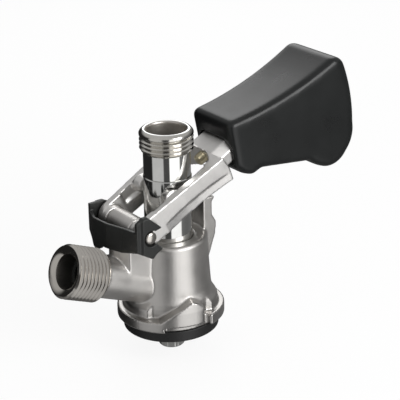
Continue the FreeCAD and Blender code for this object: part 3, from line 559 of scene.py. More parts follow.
def thread_rod(name, low, high, sizes):
    """Solid rod with a helical ridge, flat at both ends."""
    pitch = sizes.pitch
    root = sizes.crest - sizes.depth
    rise = [
        (root, 0.0),
        (root + THREAD_ROUND, FLANK_START),
        (sizes.crest - THREAD_ROUND, FLANK_END),
        (sizes.crest, CREST_START),
    ]
    shape = rise + [(radius, 1.0 - share) for radius, share in reversed(rise)]
    start = low - THREAD_LEAD * pitch
    piece = traced(name, [(radius, start + share * pitch) for radius, share in shape])
    turns = int((high - low) / pitch) + SPARE_TURNS
    steps = {"steps": THREAD_STEPS, "render_steps": THREAD_STEPS}
    apply(piece, "SCREW", screw_offset=pitch, iterations=turns, use_merge_vertices=True, **steps)
    outward(piece)
    for height, upper in ((low, False), (high, True)):
        edit(piece)
        bpy.ops.mesh.bisect(
            plane_co=(0.0, 0.0, height),
            plane_no=(0.0, 0.0, 1.0),
            use_fill=True,
            clear_outer=upper,
            clear_inner=not upper,
        )
        leave()
    return outward(piece)


def threaded(name, points, low, high, sizes):
    """Turned outline whose largest stretch carries a helical thread."""
    piece = turned(name, points)
    combine(piece, "INTERSECT", thread_rod(name + "_rod", low, high, sizes))
    return outward(piece)


def block(name, low, high, side=1):
    """Box between two corners, mirrored to the near side where asked."""
    low, high = Vector(low), Vector(high)
    middle = (low + high) / 2
    deselect()
    centre = (middle.x, side * middle.y, middle.z)
    bpy.ops.mesh.primitive_cube_add(size=1.0, location=centre, scale=high - low)
    piece = bpy.context.object
    piece.name = name
    bpy.ops.object.transform_apply(location=True, rotation=True, scale=True)
    return piece


def rod(name, radius, start, end, place):
    """Round bar along its own Z from start to end, set in a place."""
    deselect()
    bpy.ops.mesh.primitive_cylinder_add(
        vertices=BORE_SIDES, radius=radius, depth=end - start, location=(0.0, 0.0, (start + end) / 2)
    )
    piece = bpy.context.object
    piece.name = name
    bpy.ops.object.transform_apply(location=True)
    piece.data.transform(place)
    return piece


def prism(name, outline, start, end, place):
    """Outline across and up, extruded from start to end along the lever."""
    piece = traced(name, list(outline) + [outline[0]])
    edit(piece)
    bpy.ops.mesh.remove_doubles(threshold=DRAWN_MERGE)
    bpy.ops.mesh.edge_face_add()
    bpy.ops.mesh.extrude_region_move(TRANSFORM_OT_translate={"value": (0.0, end - start, 0.0)})
    leave()
    outward(piece)
    facing = Matrix.Rotation(-QUARTER_TURN, 4, "Z")
    piece.data.transform(place @ Matrix.Translation((start, 0.0, 0.0)) @ facing)
    return piece


def cast_skin(node, name, cell, ease, keep=1.0):
    """Skin of a casting, with its edges and inner corners rounded as metal from a mould."""
    return skinned(copy_of(node, name), cell, ease, keep)


def skinned(piece, cell, ease, keep=1.0):
    """Remesh a piece in small cells and ease its edges."""
    apply(piece, "REMESH", mode="VOXEL", voxel_size=cell, adaptivity=0.0)
    apply(piece, "SMOOTH", factor=HALF, iterations=ease)
    if keep < 1.0:
        apply(piece, "DECIMATE", ratio=keep)
    activate(piece)
    bpy.ops.object.shade_smooth()
    return piece


# Finishes

def shader(name):
    """New material with its nodes, links and main shader."""
    made = bpy.data.materials.new(name)
    made.use_nodes = True
    nodes = made.node_tree.nodes
    return made, nodes, made.node_tree.links, nodes["Principled BSDF"]


def spread(nodes, links, scale, stretch=EVEN, detail=NOISE_DETAIL):
    """Noise on object coordinates, stretched along an axis for tool marks."""
    place = nodes.new("ShaderNodeTexCoord")
    mapping = nodes.new("ShaderNodeMapping")
    mapping.inputs["Scale"].default_value = stretch
    noise = nodes.new("ShaderNodeTexNoise")
    noise.inputs["Scale"].default_value = scale
    noise.inputs["Detail"].default_value = detail
    noise.inputs["Roughness"].default_value = NOISE_ROUGHNESS
    links.new(place.outputs["Object"], mapping.inputs["Vector"])
    links.new(mapping.outputs["Vector"], noise.inputs["Vector"])
    return noise.outputs["Fac"]


def ranged(nodes, links, source, low, high, from_low=NOISE_LOW, from_high=NOISE_HIGH):
    """Value carried from one range to another."""
    limits = nodes.new("ShaderNodeMapRange")
    limits.inputs["From Min"].default_value = from_low
    limits.inputs["From Max"].default_value = from_high
    limits.inputs["To Min"].default_value = low
    limits.inputs["To Max"].default_value = high
    links.new(source, limits.inputs["Value"])
    return limits.outputs["Result"]


def tinted(nodes, links, source, colour, low, high):
    """Colour between two strengths of one tint."""
    ramp = nodes.new("ShaderNodeValToRGB")
    first, last = ramp.color_ramp.elements
    first.position = NOISE_LOW
    last.position = NOISE_HIGH
    first.color = [channel * low for channel in colour] + [1.0]
    last.color = [min(channel * high, 1.0) for channel in colour] + [1.0]
    links.new(source, ramp.inputs["Fac"])
    return ramp.outputs["Color"]


def bumped(nodes, links, source, distance, before=None):
    """Normal raised by a pattern, over an earlier one where given."""
    bump = nodes.new("ShaderNodeBump")
    bump.inputs["Strength"].default_value = 1.0
    bump.inputs["Distance"].default_value = distance
    links.new(source, bump.inputs["Height"])
    if before is not None:
        links.new(before, bump.inputs["Normal"])
    return bump.outputs["Normal"]


def worn(nodes, links, low, high):
    """Share that changes on the outer edges, where handling rubs a surface."""
    shape = nodes.new("ShaderNodeNewGeometry")
    return ranged(nodes, links, shape.outputs["Pointiness"], low, high, EDGE_START, EDGE_END)


def product(nodes, links, first, second):
    """Two values multiplied."""
    scaled = nodes.new("ShaderNodeMath")
    scaled.operation = "MULTIPLY"
    links.new(first, scaled.inputs[0])
    links.new(second, scaled.inputs[1])
    return scaled.outputs["Value"]


def shaded(nodes, links, colour, share):
    """Colour scaled by a share."""
    scaled = nodes.new("ShaderNodeVectorMath")
    scaled.operation = "SCALE"
    links.new(colour, scaled.inputs[0])
    links.new(share, scaled.inputs["Scale"])
    return scaled.outputs["Vector"]


def metal(name, colour, smoothest, roughest, grain, relief, marks=EVEN, pits=0.0, foot=None, edges=False):
    """Metal with cast grain or tool marks, and pits, a turned foot that is smoother and also painted darker
    as painted shade, and rubbed edges where asked.
    """
    made, nodes, links, main = shader(name)
    main.inputs["Metallic"].default_value = 1.0
    broad = spread(nodes, links, METAL_BROAD, detail=BROAD_DETAIL)
    fine = spread(nodes, links, grain, stretch=marks)
    tint = tinted(nodes, links, broad, colour, METAL_DARKEST, METAL_LIGHTEST)
    rough = ranged(nodes, links, broad, smoothest, roughest)
    if foot is not None:
        place = nodes.new("ShaderNodeTexCoord")
        parts = nodes.new("ShaderNodeSeparateXYZ")
        links.new(place.outputs["Object"], parts.inputs["Vector"])
        height = parts.outputs["Z"]
        end = foot + MILLIMETRE
        rough = product(nodes, links, rough, ranged(nodes, links, height, FOOT_ROUGH, 1.0, foot, end))
        # Colour darkened below the foot: painted shade at the bottom of the casting
        tint = shaded(nodes, links, tint, ranged(nodes, links, height, FOOT_PAINTED_SHADE, 1.0, foot, end))
    if edges:
        tint = shaded(nodes, links, tint, worn(nodes, links, 1.0, METAL_EDGE_LIGHT))
        rough = product(nodes, links, rough, worn(nodes, links, 1.0, METAL_EDGE_ROUGH))
    links.new(tint, main.inputs["Base Color"])
    links.new(rough, main.inputs["Roughness"])
    normal = bumped(nodes, links, fine, relief)
    if pits:
        place = nodes.new("ShaderNodeTexCoord")
        cells = nodes.new("ShaderNodeTexVoronoi")
        cells.inputs["Scale"].default_value = PIT_SCALE
        links.new(place.outputs["Object"], cells.inputs["Vector"])
        hollow = ranged(nodes, links, cells.outputs["Distance"], 0.0, 1.0, PIT_INNER, PIT_OUTER)
        normal = bumped(nodes, links, hollow, pits, before=normal)
    links.new(normal, main.inputs["Normal"])
    return made


def plastic(name, colour, smoothest, roughest, grain, relief, shine=HALF, edges=False):
    """Moulded plastic or rubber with a fine grain, and rubbed edges where asked."""
    made, nodes, links, main = shader(name)
    main.inputs["Specular IOR Level"].default_value = shine
    broad = spread(nodes, links, PLASTIC_BROAD, detail=BROAD_DETAIL)
    fine = spread(nodes, links, grain)
    tint = tinted(nodes, links, broad, colour, PLASTIC_DARKEST, PLASTIC_LIGHTEST)
    rough = ranged(nodes, links, broad, smoothest, roughest)
    if edges:
        tint = shaded(nodes, links, tint, worn(nodes, links, 1.0, PLASTIC_EDGE_LIGHT))
        rough = product(nodes, links, rough, worn(nodes, links, 1.0, PLASTIC_EDGE_ROUGH))
    links.new(tint, main.inputs["Base Color"])
    links.new(rough, main.inputs["Roughness"])
    links.new(bumped(nodes, links, fine, relief), main.inputs["Normal"])
    return made


def finishes():
    """Make every finish once; each piece then takes its own by name."""
    colours = bpy.context.scene.coupler_colours
    if "cast_steel_finish" in bpy.data.materials:
        return
    metal(
        "cast_steel_finish", colours.casting, smoothest=0.34, roughest=0.44, grain=1100.0, relief=0.00003,
        foot=FOOT_HEIGHT, edges=True,
    )
    metal(
        "lever_steel_finish", colours.lever, smoothest=0.32, roughest=0.42, grain=1100.0, relief=0.00002,
        pits=0.00002, edges=True,
    )
    metal("polished_finish", colours.polished, smoothest=0.05, roughest=0.08, grain=500.0, relief=0.0000005)
    # The probe tube takes a darker copy of the polished finish: painted shade
    probe = [PROBE_PAINTED_SHADE_SHARE * channel for channel in colours.polished]
    metal("probe_painted_shade_finish", probe, smoothest=0.06, roughest=0.10, grain=500.0, relief=0.0000005)
    metal("bore_finish", colours.machined, smoothest=0.30, roughest=0.42, grain=700.0, relief=0.00001)
    metal("machined_finish", colours.machined, smoothest=0.09, roughest=0.15, grain=700.0, relief=0.000003)
    metal("thread_finish", colours.thread, smoothest=0.12, roughest=0.18, grain=700.0, relief=0.000004)
    # Darker copy of the machined finish: painted shade inside the inlet's bore
    dark = [BORE_PAINTED_SHADE_SHARE * channel for channel in colours.machined]
    metal("bore_painted_shade_finish", dark, smoothest=0.40, roughest=0.50, grain=700.0, relief=0.00001)
    metal(
        "pin_finish", colours.machined, smoothest=0.18, roughest=0.30, grain=800.0, relief=0.00002,
        marks=PIN_MARKS,
    )
    metal("brass_finish", colours.brass, smoothest=0.30, roughest=0.42, grain=700.0, relief=0.000005)
    plastic(
        "rubber_finish", colours.rubber, smoothest=0.42, roughest=0.55, grain=1500.0, relief=0.00002,
        shine=0.4,
    )
    plastic(
        "grip_finish", colours.grip, smoothest=0.26, roughest=0.34, grain=520.0, relief=0.000006, shine=0.38,
        edges=True,
    )
    plastic(
        "clip_finish", colours.clip, smoothest=0.30, roughest=0.40, grain=900.0, relief=0.00001, shine=0.4,
        edges=True,
    )
    plastic("pale_finish", colours.pale, smoothest=0.35, roughest=0.5, grain=1200.0, relief=0.00001)


def paint(piece, finish):
    """One finish all over a new piece."""
    piece.data.materials.clear()
    piece.data.materials.append(bpy.data.materials[finish])
    return piece


def paint_where(piece, finish, chosen):
    """Another finish on the faces that the test chooses by their distance from the Z axis."""
    piece.data.materials.append(bpy.data.materials[finish])
    for face in piece.data.polygons:
        if chosen(face, Vector((face.center.x, face.center.y, 0.0))):
            face.material_index = len(piece.data.materials) - 1
    return piece


def finish_node(node, finish):
    """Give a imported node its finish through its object's own slots."""
    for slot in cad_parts[node].material_slots:
        slot.material = bpy.data.materials[finish]


def stand_for(piece, body, slot, *nodes):
    """Carry a piece on a body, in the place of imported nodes."""
    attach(piece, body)
    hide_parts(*nodes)
    return piece


# Pieces

class COUPLER_OT_body(bpy.types.Operator):
    """Cast body with rounded blends and its turned gas inlet"""

    bl_idname = "coupler.body"
    bl_label = "Cast body"

    def execute(self, context):
        finishes()
        sizes = context.scene.coupler_sizes
        place = inlet_place()
        skin = cast_skin("coupler_body", "body_casting", sizes.body_cell, sizes.body_ease, keep=HALF)
        joint = place @ Vector((0.0, 0.0, INLET_JOINT))
        along = place.to_3x3() @ Vector((0.0, 0.0, 1.0))
        edit(skin)
        bpy.ops.mesh.bisect(plane_co=joint, plane_no=along, use_fill=True, clear_outer=True)
        leave()
        paint(skin, "cast_steel_finish")
        stand_for(skin, "body", "cast_steel", "coupler_body")

        outline = [
            (INLET_NECK_RADIUS, INLET_ROOT),
            (INLET_NECK_RADIUS, INLET_JOINT),
            (INLET_RADIUS, INLET_THREAD_START),
            (INLET_RADIUS, INLET_THREAD_END),
            (INLET_FACE_RADIUS, INLET_FACE),
            (INLET_SEAT_RADIUS, INLET_FACE),
            (INLET_SEAT_INNER, INLET_SEAT_FLOOR),
            (INLET_BORE, INLET_BORE_TOP),
            (INLET_BORE, INLET_FLOOR),
            (VALVE_BORE, INLET_FLOOR),
            (VALVE_BORE, INLET_ROOT),
        ]
        inlet = threaded("inlet_thread", outline, INLET_ROD_LOW, INLET_ROD_HIGH, sizes)
        smooth(inlet)
        paint(inlet, "machined_finish")

        # Faces inside the inlet's bore take the darker copy of the machined finish, which is painted shade
        def in_bore(face, away):
            return away.length < INLET_PAINTED_SHADE_WITHIN and face.normal.dot(away) < 0.0

        paint_where(inlet, "bore_painted_shade_finish", in_bore)
        inlet.data.transform(place)
        stand_for(inlet, "body", "cast_steel", "coupler_body")
        return {"FINISHED"}


class COUPLER_OT_probe(bpy.types.Operator):
    """Polished probe with its drive slots, and its tip"""

    bl_idname = "coupler.probe"
    bl_label = "Probe"

    def execute(self, context):
        finishes()
        outline = [
            (TIP_SOCKET, PROBE_END),
            (PROBE_END_INNER, PROBE_END),
            (PROBE_END_RADIUS, PROBE_END_EDGE),
            (PROBE_END_RADIUS, PROBE_SHOULDER),
            (PROBE_RADIUS, PROBE_SHOULDER_TOP),
            (PROBE_RADIUS, LOWER_GROOVE_LOW),
            (RING_GROOVE_RADIUS, LOWER_GROOVE_LOW),
            (RING_GROOVE_RADIUS, LOWER_GROOVE_HIGH),
            (PROBE_RADIUS, LOWER_GROOVE_HIGH),
            (PROBE_RADIUS, UPPER_GROOVE_LOW),
            (RING_GROOVE_RADIUS, UPPER_GROOVE_LOW),
            (RING_GROOVE_RADIUS, UPPER_GROOVE_HIGH),
            (PROBE_RADIUS, UPPER_GROOVE_HIGH),
            (PROBE_RADIUS, PROBE_EDGE),
            (PROBE_EDGE_RADIUS, PROBE_TOP),
            (SPIGOT_RADIUS, PROBE_TOP),
            (SPIGOT_RADIUS, SPIGOT_GROOVE_LOW),
            (SPIGOT_GROOVE_RADIUS, SPIGOT_GROOVE_LOW),
            (SPIGOT_GROOVE_RADIUS, SPIGOT_GROOVE_HIGH),
            (SPIGOT_RADIUS, SPIGOT_GROOVE_HIGH),
            (SPIGOT_RADIUS, SPIGOT_TOP),
            (BALL_SEAT_RADIUS, SPIGOT_TOP),
            (NECK_BORE, NECK_TOP),
            (NECK_BORE, NECK_LOW),
            (PROBE_BORE, PROBE_BORE_TOP),
            (PROBE_BORE, TIP_SOCKET_TOP),
            (TIP_SOCKET, TIP_SOCKET_TOP),
        ]
        tube = turned("probe_tube", outline)
        low = (-SLOT_REACH, DRIVE_FLAT, SLOT_LOW)
        high = (SLOT_REACH, SLOT_REACH, SLOT_HIGH)
        for side in NEAR_AND_FAR:
            combine(tube, "DIFFERENCE", block("slot", low, high, side))
        outward(tube)
        smooth(tube)
        # The probe tube's darker copy of the polished finish is painted shade
        paint(tube, "probe_painted_shade_finish")
        stand_for(tube, "probe", "polished_steel", "probe")

        end = smooth(copy_of("probe_tip", "probe_end"))
        paint(end, "polished_finish")
        stand_for(end, "probe", "polished_steel", "probe_tip")
        return {"FINISHED"}


class COUPLER_OT_outlet(bpy.types.Operator):
    """Polished beer outlet with its hose thread and rounded lip"""

    bl_idname = "coupler.outlet"
    bl_label = "Beer outlet"

    def execute(self, context):
        finishes()
        sizes = context.scene.coupler_sizes
        outline = [
            (OUTLET_SOCKET, PROBE_TOP),
            (OUTLET_FOOT_RADIUS, PROBE_TOP),
            (OUTLET_RADIUS, OUTLET_FOOT),
            (OUTLET_RADIUS, OUTLET_RELIEF),
            (OUTLET_THREAD_RADIUS, OUTLET_THREAD_START),
            (OUTLET_THREAD_RADIUS, OUTLET_THREAD_END),
            (OUTLET_BORE, OUTLET_THREAD_END),
            (OUTLET_BORE, OUTLET_SHOULDER),
            (OUTLET_SOCKET, OUTLET_SHOULDER),
        ]
        outlet = threaded("beer_outlet_tube", outline, OUTLET_ROD_LOW, OUTLET_ROD_HIGH, sizes)
        lip = [
            (LIP_BORE, LIP_LOW),
            (LIP_LOW_RADIUS, LIP_LOW),
            (LIP_RADIUS, LIP_BAND_LOW),
            (LIP_RADIUS, LIP_BAND_HIGH),
            *LIP_SHOULDER,
            *LIP_CROWN,
            *LIP_MOUTH,
            (LIP_BORE, LIP_BORE_TOP),
        ]
        combine(outlet, "UNION", turned("lip", lip))
        outward(outlet)
        smooth(outlet)
        paint(outlet, "polished_finish")

        def in_bore(face, away):
            return away.length < OUTLET_BORE_WITHIN and face.normal.dot(away) < 0.0

        def on_thread(face, away):
            return OUTLET_BAND_LOW < face.center.z < OUTLET_BAND_HIGH and away.length > OUTLET_BAND_RADIUS

        paint_where(outlet, "bore_finish", in_bore)
        paint_where(outlet, "thread_finish", on_thread)
        stand_for(outlet, "probe", "outlet_steel", "beer_outlet")
        return {"FINISHED"}


class COUPLER_OT_lever(bpy.types.Operator):
    """Cast fork lever with eased edges and clean latch bores"""

    bl_idname = "coupler.lever"
    bl_label = "Fork lever"

    def execute(self, context):
        finishes()
        sizes = context.scene.coupler_sizes
        skin = cast_skin("lever_fork", "fork_casting", sizes.lever_cell, sizes.lever_ease, keep=HALF)
        along = latch_place()
        latch_bore = rod("latch_bore", LATCH_BORE, LATCH_BORE_START, BORE_END, along)
        spring_bore = rod("spring_bore", SPRING_BORE, SPRING_BORE_START, BORE_END, along)
        combine(skin, "DIFFERENCE", latch_bore, spring_bore)
        smooth(skin, CUT_SHADE)
        paint(skin, "lever_steel_finish")
        stand_for(skin, "lever", "lever_steel", "lever_fork")
        return {"FINISHED"}


class COUPLER_OT_grip(bpy.types.Operator):
    """Moulded grip with the pocket that slides on the lever's collar and tongue"""

    bl_idname = "coupler.grip"
    bl_label = "Grip"

    def execute(self, context):
        finishes()
        sizes = context.scene.coupler_sizes
        shell = cast_skin("grip_shell", "grip_moulding", sizes.grip_cell, sizes.grip_ease)
        collar = [
            (-GUIDE_WIDE, GUIDE_LOW),
            (GUIDE_WIDE, GUIDE_LOW),
            (GUIDE_WIDE, GUIDE_SIDE_HIGH),
            (GUIDE_FLAT, GUIDE_HIGH),
            (-GUIDE_FLAT, GUIDE_HIGH),
            (-GUIDE_WIDE, GUIDE_SIDE_HIGH),
        ]
        tongue = [
            (-TONGUE_WIDE, GUIDE_LOW),
            (TONGUE_WIDE, GUIDE_LOW),
            (TONGUE_WIDE, GUIDE_HIGH),
            (-TONGUE_WIDE, GUIDE_HIGH),
        ]
        place = lever_place()
        screw = place @ Matrix.Translation((SCREW_OUT, 0.0, 0.0))
        combine(
            shell,
            "DIFFERENCE",
            prism("guide", collar, GUIDE_START, GUIDE_END, place),
            prism("tongue_pocket", tongue, GUIDE_START, TONGUE_END, place),
            rod("rod_hole", ROD_HOLE, ROD_HOLE_START, ROD_HOLE_END, latch_place()),
            rod("screw_hole", SCREW_HOLE, SCREW_HOLE_LOW, SCREW_HOLE_HIGH, screw),
        )
        smooth(shell, CUT_SHADE)
        paint(shell, "grip_finish")
        stand_for(shell, "grip", "grip_plastic", "grip_shell")
        finish_node("grip_screw", "pin_finish")
        return {"FINISHED"}


class COUPLER_OT_pin(bpy.types.Operator):
    """Hinge pin with its domed heads"""

    bl_idname = "coupler.pin"
    bl_label = "Hinge pin"

    def execute(self, context):
        finishes()
        head = [(PIN_SHANK, PIN_HEAD_SEAT), (PIN_HEAD, PIN_HEAD_SEAT)]
        for turn in DOME_TURNS:
            head.append((PIN_HEAD * math.cos(turn), PIN_REACH + PIN_CROWN * math.sin(turn)))
        outline = [(0.0, -PIN_REACH - PIN_CROWN)]
        outline += [(across, -along) for across, along in reversed(head)]
        outline += head
        outline.append((0.0, PIN_REACH + PIN_CROWN))
        pin = turned("hinge_pin_turned", outline, steps=PIN_STEPS)
        pin.data.transform(Matrix.Translation(PIVOT) @ Matrix.Rotation(QUARTER_TURN, 4, "X"))
        smooth(pin, CUT_SHADE)
        paint(pin, "pin_finish")
        stand_for(pin, "body", "pin_steel", "hinge_pin")
        return {"FINISHED"}


class COUPLER_OT_clip(bpy.types.Operator):
    """Moulded clip on the hinge pin, with a raised pad and a pocket on each jaw"""

    bl_idname = "coupler.clip"
    bl_label = "Hinge clip"

    def execute(self, context):
        finishes()
        sizes = context.scene.coupler_sizes
        clip = copy_of("hinge_clip", "hinge_clip_moulded")
        for side in NEAR_AND_FAR:
            edit(clip)
            bpy.ops.mesh.bisect(plane_co=(PAD_BACK, 0.0, 0.0), plane_no=(1.0, 0.0, 0.0))
            leave()
            edit(clip, selected=False)
            bpy.ops.mesh.select_mode(type="FACE")
            leave()
            for face in clip.data.polygons:
                outer = side * face.normal.y > PAD_FACING and side * face.center.y > PAD_OUT
                face.select = outer and face.center.x > PAD_BACK
            bpy.ops.object.mode_set(mode="EDIT")
            bpy.ops.mesh.inset(thickness=PAD_MARGIN, depth=PAD_RISE, use_boundary=True)
            leave()
            deselect()
            bpy.ops.mesh.primitive_cylinder_add(
                vertices=POCKET_SIDES,
                radius=POCKET_RADIUS,
                depth=POCKET_DEPTH,
                location=(PIVOT.x, side * POCKET_OUT, PIVOT.z),
                rotation=(QUARTER_TURN, 0.0, 0.0),
            )
            combine(clip, "DIFFERENCE", context.object, use_self=True)
        skinned(clip, sizes.clip_cell, sizes.clip_ease, keep=HALF)
        paint(clip, "clip_finish")
        stand_for(clip, "body", "clip_plastic", "hinge_clip")
        return {"FINISHED"}


class COUPLER_OT_latch(bpy.types.Operator):
    """Latch plunger, its plug and its wound spring"""

    bl_idname = "coupler.latch"
    bl_label = "Latch"

    def execute(self, context):
        finishes()
        sizes = context.scene.coupler_sizes
        plunger = smooth(copy_of("latch_plunger", "latch_pin"))
        paint(plunger, "brass_finish")
        stand_for(plunger, "grip", "latch_brass", "latch_plunger")
        finish_node("latch_plug", "pin_finish")

        deselect()
        bpy.ops.mesh.primitive_circle_add(
            vertices=WIRE_SIDES,
            radius=sizes.wire,
            location=(SPRING_RADIUS - sizes.wire, 0.0, SPRING_START + sizes.wire),
            rotation=(QUARTER_TURN, 0.0, 0.0),
        )
        coil = context.object
        coil.name = "latch_coil"
        bpy.ops.object.transform_apply(location=True, rotation=True)
        rise = (SPRING_END - SPRING_START - 2.0 * sizes.wire) / sizes.coils
        steps = {"steps": COIL_STEPS, "render_steps": COIL_STEPS}
        apply(coil, "SCREW", screw_offset=rise, iterations=sizes.coils, use_merge_vertices=True, **steps)
        edit(coil, selected=False)
        bpy.ops.mesh.select_non_manifold()
        bpy.ops.mesh.edge_face_add()
        leave()
        outward(coil)
        coil.data.transform(latch_place())
        smooth(coil, CUT_SHADE)
        paint(coil, "pin_finish")
        stand_for(coil, "lever", "spring_steel", "latch_spring")
        return {"FINISHED"}


class COUPLER_OT_seals(bpy.types.Operator):
    """Rubber seals, rings and the two non-return valves"""

    bl_idname = "coupler.seals"
    bl_label = "Seals and valves"

    def execute(self, context):
        finishes()
        seal = smooth(copy_of("keg_seal", "keg_seal_ring"))
        edge = {"width": SEAL_EDGE, "segments": SEAL_EDGE_STEPS, "angle_limit": SEAL_EDGE_ANGLE}
        apply(seal, "BEVEL", limit_method="ANGLE", **edge)
        smooth(seal)
        paint(seal, "rubber_finish")
        stand_for(seal, "body", "seal_rubber", "keg_seal")
        for node in ("tip_seal", "probe_ring_upper", "probe_ring_lower", "outlet_ring", "gas_check_valve"):
            finish_node(node, "rubber_finish")
        finish_node("gas_valve_retainer", "clip_finish")
        for node in ("ball_cage", "check_ball"):
            finish_node(node, "pale_finish")
        return {"FINISHED"}


# Stage

def camera_place():
    """Matrix of the photograph's camera."""
    level = math.cos(CAMERA_RISE)
    back = Vector((level * math.sin(CAMERA_TURN), -level * math.cos(CAMERA_TURN), math.sin(CAMERA_RISE)))
    across = Vector((math.cos(CAMERA_TURN), math.sin(CAMERA_TURN), 0.0))
    upward = back.cross(across)
    right = across * math.cos(CAMERA_ROLL) + upward * math.sin(CAMERA_ROLL)
    top = upward * math.cos(CAMERA_ROLL) - across * math.sin(CAMERA_ROLL)
    pixel = CAMERA_DISTANCE / FOCAL_PIXELS
    shift = right * (SHIFT_RIGHT * pixel) + top * (SHIFT_UP * pixel)
    matrix = Matrix((right, top, back)).transposed().to_4x4()
    matrix.translation = CAMERA_TARGET + back * CAMERA_DISTANCE + shift
    return matrix


def lamp(name, place, target, size, power):
    """Square soft lamp that faces a point."""
    light = bpy.data.lights.new(name, "AREA")
    light.shape = "RECTANGLE"
    light.size = size
    light.size_y = size
    light.energy = power
    holder = bpy.data.objects.new(name, light)
    bpy.context.scene.collection.objects.link(holder)
    way = (Vector(target) - Vector(place)).to_track_quat("-Z", "Y")
    holder.matrix_world = Matrix.Translation(place) @ way.to_matrix().to_4x4()
    return holder


def blended(nodes, links, share, first, second):
    """Colour that goes from the first to the plain second with a share."""
    mix = nodes.new("ShaderNodeMix")
    mix.data_type = "RGBA"
    factor, start, end = mix.inputs[0], mix.inputs[6], mix.inputs[7]
    links.new(share, factor)
    links.new(first, start)
    end.default_value = second
    return mix.outputs[2]


def eased(nodes, links, source, start, end, first, last):
    """Soft step of a value between two heights."""
    step = nodes.new("ShaderNodeMapRange")
    step.interpolation_type = "SMOOTHSTEP"
    step.inputs["From Min"].default_value = start
    step.inputs["From Max"].default_value = end
    step.inputs["To Min"].default_value = first
    step.inputs["To Max"].default_value = last
    links.new(source, step.inputs["Value"])
    return step.outputs["Result"]


def studio_world():
    """White to the camera, and a soft studio with a few dark panels to the metal."""
    world = bpy.data.worlds.new("Studio")
    bpy.context.scene.world = world
    world.use_nodes = True
    nodes, links = world.node_tree.nodes, world.node_tree.links
    nodes.clear()
    place = nodes.new("ShaderNodeTexCoord")
    parts = nodes.new("ShaderNodeSeparateXYZ")
    links.new(place.outputs["Generated"], parts.inputs["Vector"])
    around = nodes.new("ShaderNodeMath")
    around.operation = "ARCTAN2"
    links.new(parts.outputs["Y"], around.inputs[0])
    links.new(parts.outputs["X"], around.inputs[1])
    panels = nodes.new("ShaderNodeValToRGB")
    panels.color_ramp.interpolation = "EASE"
    stops = LEFT_WALL + DARK_SCREEN + WHITE_SCREEN + RIGHT_WALL + BACK_SCREEN + LEFT_WALL_END
    ramp = panels.color_ramp.elements
    while len(ramp) < len(stops):
        ramp.new(HALF)
    for stop, (position, level) in zip(ramp, stops):
        stop.position = position
        stop.color = (level, level, level, 1.0)
    turn = ranged(nodes, links, around.outputs["Value"], 0.0, 1.0, -math.pi, math.pi)
    links.new(turn, panels.inputs["Fac"])
    height = parts.outputs["Z"]
    above = eased(nodes, links, height, OVERHEAD_START, OVERHEAD_END, 0.0, 1.0)
    below = eased(nodes, links, height, UNDER_START, UNDER_END, 1.0, 0.0)
    room = blended(nodes, links, above, panels.outputs["Color"], OVERHEAD_GREY)
    room = blended(nodes, links, below, room, UNDER_GREY)
    soft = nodes.new("ShaderNodeBackground")
    links.new(room, soft.inputs["Color"])
    white = nodes.new("ShaderNodeBackground")
    white.inputs["Color"].default_value = WHITE
    path = nodes.new("ShaderNodeLightPath")
    chosen = nodes.new("ShaderNodeMixShader")
    links.new(path.outputs["Is Camera Ray"], chosen.inputs["Fac"])
    links.new(soft.outputs["Background"], chosen.inputs[1])
    links.new(white.outputs["Background"], chosen.inputs[2])
    out = nodes.new("ShaderNodeOutputWorld")
    links.new(chosen.outputs["Shader"], out.inputs["Surface"])


def floor_finish():
    """Pale floor that keeps a soft shadow and reads white to the camera."""
    made, nodes, links, main = shader("floor_finish")
    main.inputs["Base Color"].default_value = FLOOR_COLOUR
    grain = spread(nodes, links, FLOOR_GRAIN)
    links.new(ranged(nodes, links, grain, FLOOR_SMOOTHEST, FLOOR_ROUGHEST), main.inputs["Roughness"])
    glow = nodes.new("ShaderNodeEmission")
    glow.inputs["Color"].default_value = WHITE
    glow.inputs["Strength"].default_value = FLOOR_GLOW
    pale = nodes.new("ShaderNodeMixShader")
    pale.inputs["Fac"].default_value = FLOOR_GLOW_SHARE
    links.new(main.outputs["BSDF"], pale.inputs[1])
    links.new(glow.outputs["Emission"], pale.inputs[2])
    path = nodes.new("ShaderNodeLightPath")
    seen = path.outputs["Is Camera Ray"]
    for kind in ("Is Transmission Ray", "Is Glossy Ray"):
        either = nodes.new("ShaderNodeMath")
        either.operation = "MAXIMUM"
        links.new(seen, either.inputs[0])
        links.new(path.outputs[kind], either.inputs[1])
        seen = either.outputs["Value"]
    chosen = nodes.new("ShaderNodeMixShader")
    links.new(seen, chosen.inputs["Fac"])
    links.new(main.outputs["BSDF"], chosen.inputs[1])
    links.new(pale.outputs["Shader"], chosen.inputs[2])
    links.new(chosen.outputs["Shader"], nodes["Material Output"].inputs["Surface"])
    return made


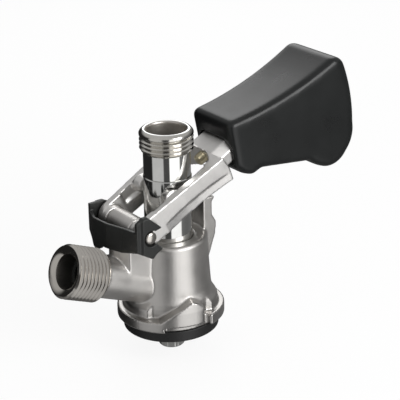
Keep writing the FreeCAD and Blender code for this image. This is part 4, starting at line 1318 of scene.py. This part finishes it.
class COUPLER_OT_stage(bpy.types.Operator):
    """Pale floor, soft lamps and the camera of the photograph"""

    bl_idname = "coupler.stage"
    bl_label = "Stage"

    def execute(self, context):
        scene = context.scene
        scene.view_settings.view_transform = "Standard"
        studio_world()
        deselect()
        bpy.ops.mesh.primitive_plane_add(size=FLOOR_SIZE, location=(0.0, 0.0, FLOOR_HEIGHT))
        floor = context.object
        floor.name = "floor"
        bpy.ops.object.transform_apply(location=True)
        paint(floor, floor_finish().name)
        floor.visible_glossy = False
        lamp("key_lamp", KEY_LAMP_PLACE, KEY_LAMP_TARGET, KEY_LAMP_SIZE, KEY_LAMP_POWER)
        lamp("back_lamp", BACK_LAMP_PLACE, BACK_LAMP_TARGET, BACK_LAMP_SIZE, BACK_LAMP_POWER)
        camera = bpy.data.cameras.new("camera")
        camera.sensor_width = SENSOR_WIDTH
        camera.lens = FOCAL_PIXELS / FRAME_PIXELS * SENSOR_WIDTH
        camera.clip_start = CAMERA_NEAR
        holder = bpy.data.objects.new("camera", camera)
        scene.collection.objects.link(holder)
        holder.matrix_world = camera_place()
        scene.camera = holder
        return {"FINISHED"}


PIECES = (
    COUPLER_OT_stage,
    COUPLER_OT_body,
    COUPLER_OT_probe,
    COUPLER_OT_outlet,
    COUPLER_OT_lever,
    COUPLER_OT_grip,
    COUPLER_OT_pin,
    COUPLER_OT_clip,
    COUPLER_OT_latch,
    COUPLER_OT_seals,
)


class COUPLER_PT_panel(bpy.types.Panel):
    """Lists the coupler's pieces, sizes and colours"""

    bl_idname = "COUPLER_PT_panel"
    bl_label = "Keg coupler"
    bl_space_type = "VIEW_3D"
    bl_region_type = "UI"
    bl_category = "Coupler"

    def draw(self, context):
        for piece in PIECES:
            self.layout.operator(piece.bl_idname)
        for group in (context.scene.coupler_sizes, context.scene.coupler_colours):
            for name in group.bl_rna.properties.keys():
                if name not in ("rna_type", "name"):
                    self.layout.prop(group, name)


CLASSES = (CouplerSizes, CouplerColours) + PIECES + (COUPLER_PT_panel,)


def register():
    for item in CLASSES:
        bpy.utils.register_class(item)
    bpy.types.Scene.coupler_sizes = PointerProperty(type=CouplerSizes)
    bpy.types.Scene.coupler_colours = PointerProperty(type=CouplerColours)


def unregister():
    del bpy.types.Scene.coupler_sizes
    del bpy.types.Scene.coupler_colours
    for item in reversed(CLASSES):
        bpy.utils.unregister_class(item)


def main():
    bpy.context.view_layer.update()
    register()
    bpy.ops.coupler.stage()
    bpy.ops.coupler.body()
    bpy.ops.coupler.probe()
    bpy.ops.coupler.outlet()
    bpy.ops.coupler.lever()
    bpy.ops.coupler.grip()
    bpy.ops.coupler.pin()
    bpy.ops.coupler.clip()
    bpy.ops.coupler.latch()
    bpy.ops.coupler.seals()
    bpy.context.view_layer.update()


if __name__ == "__main__":
    main()
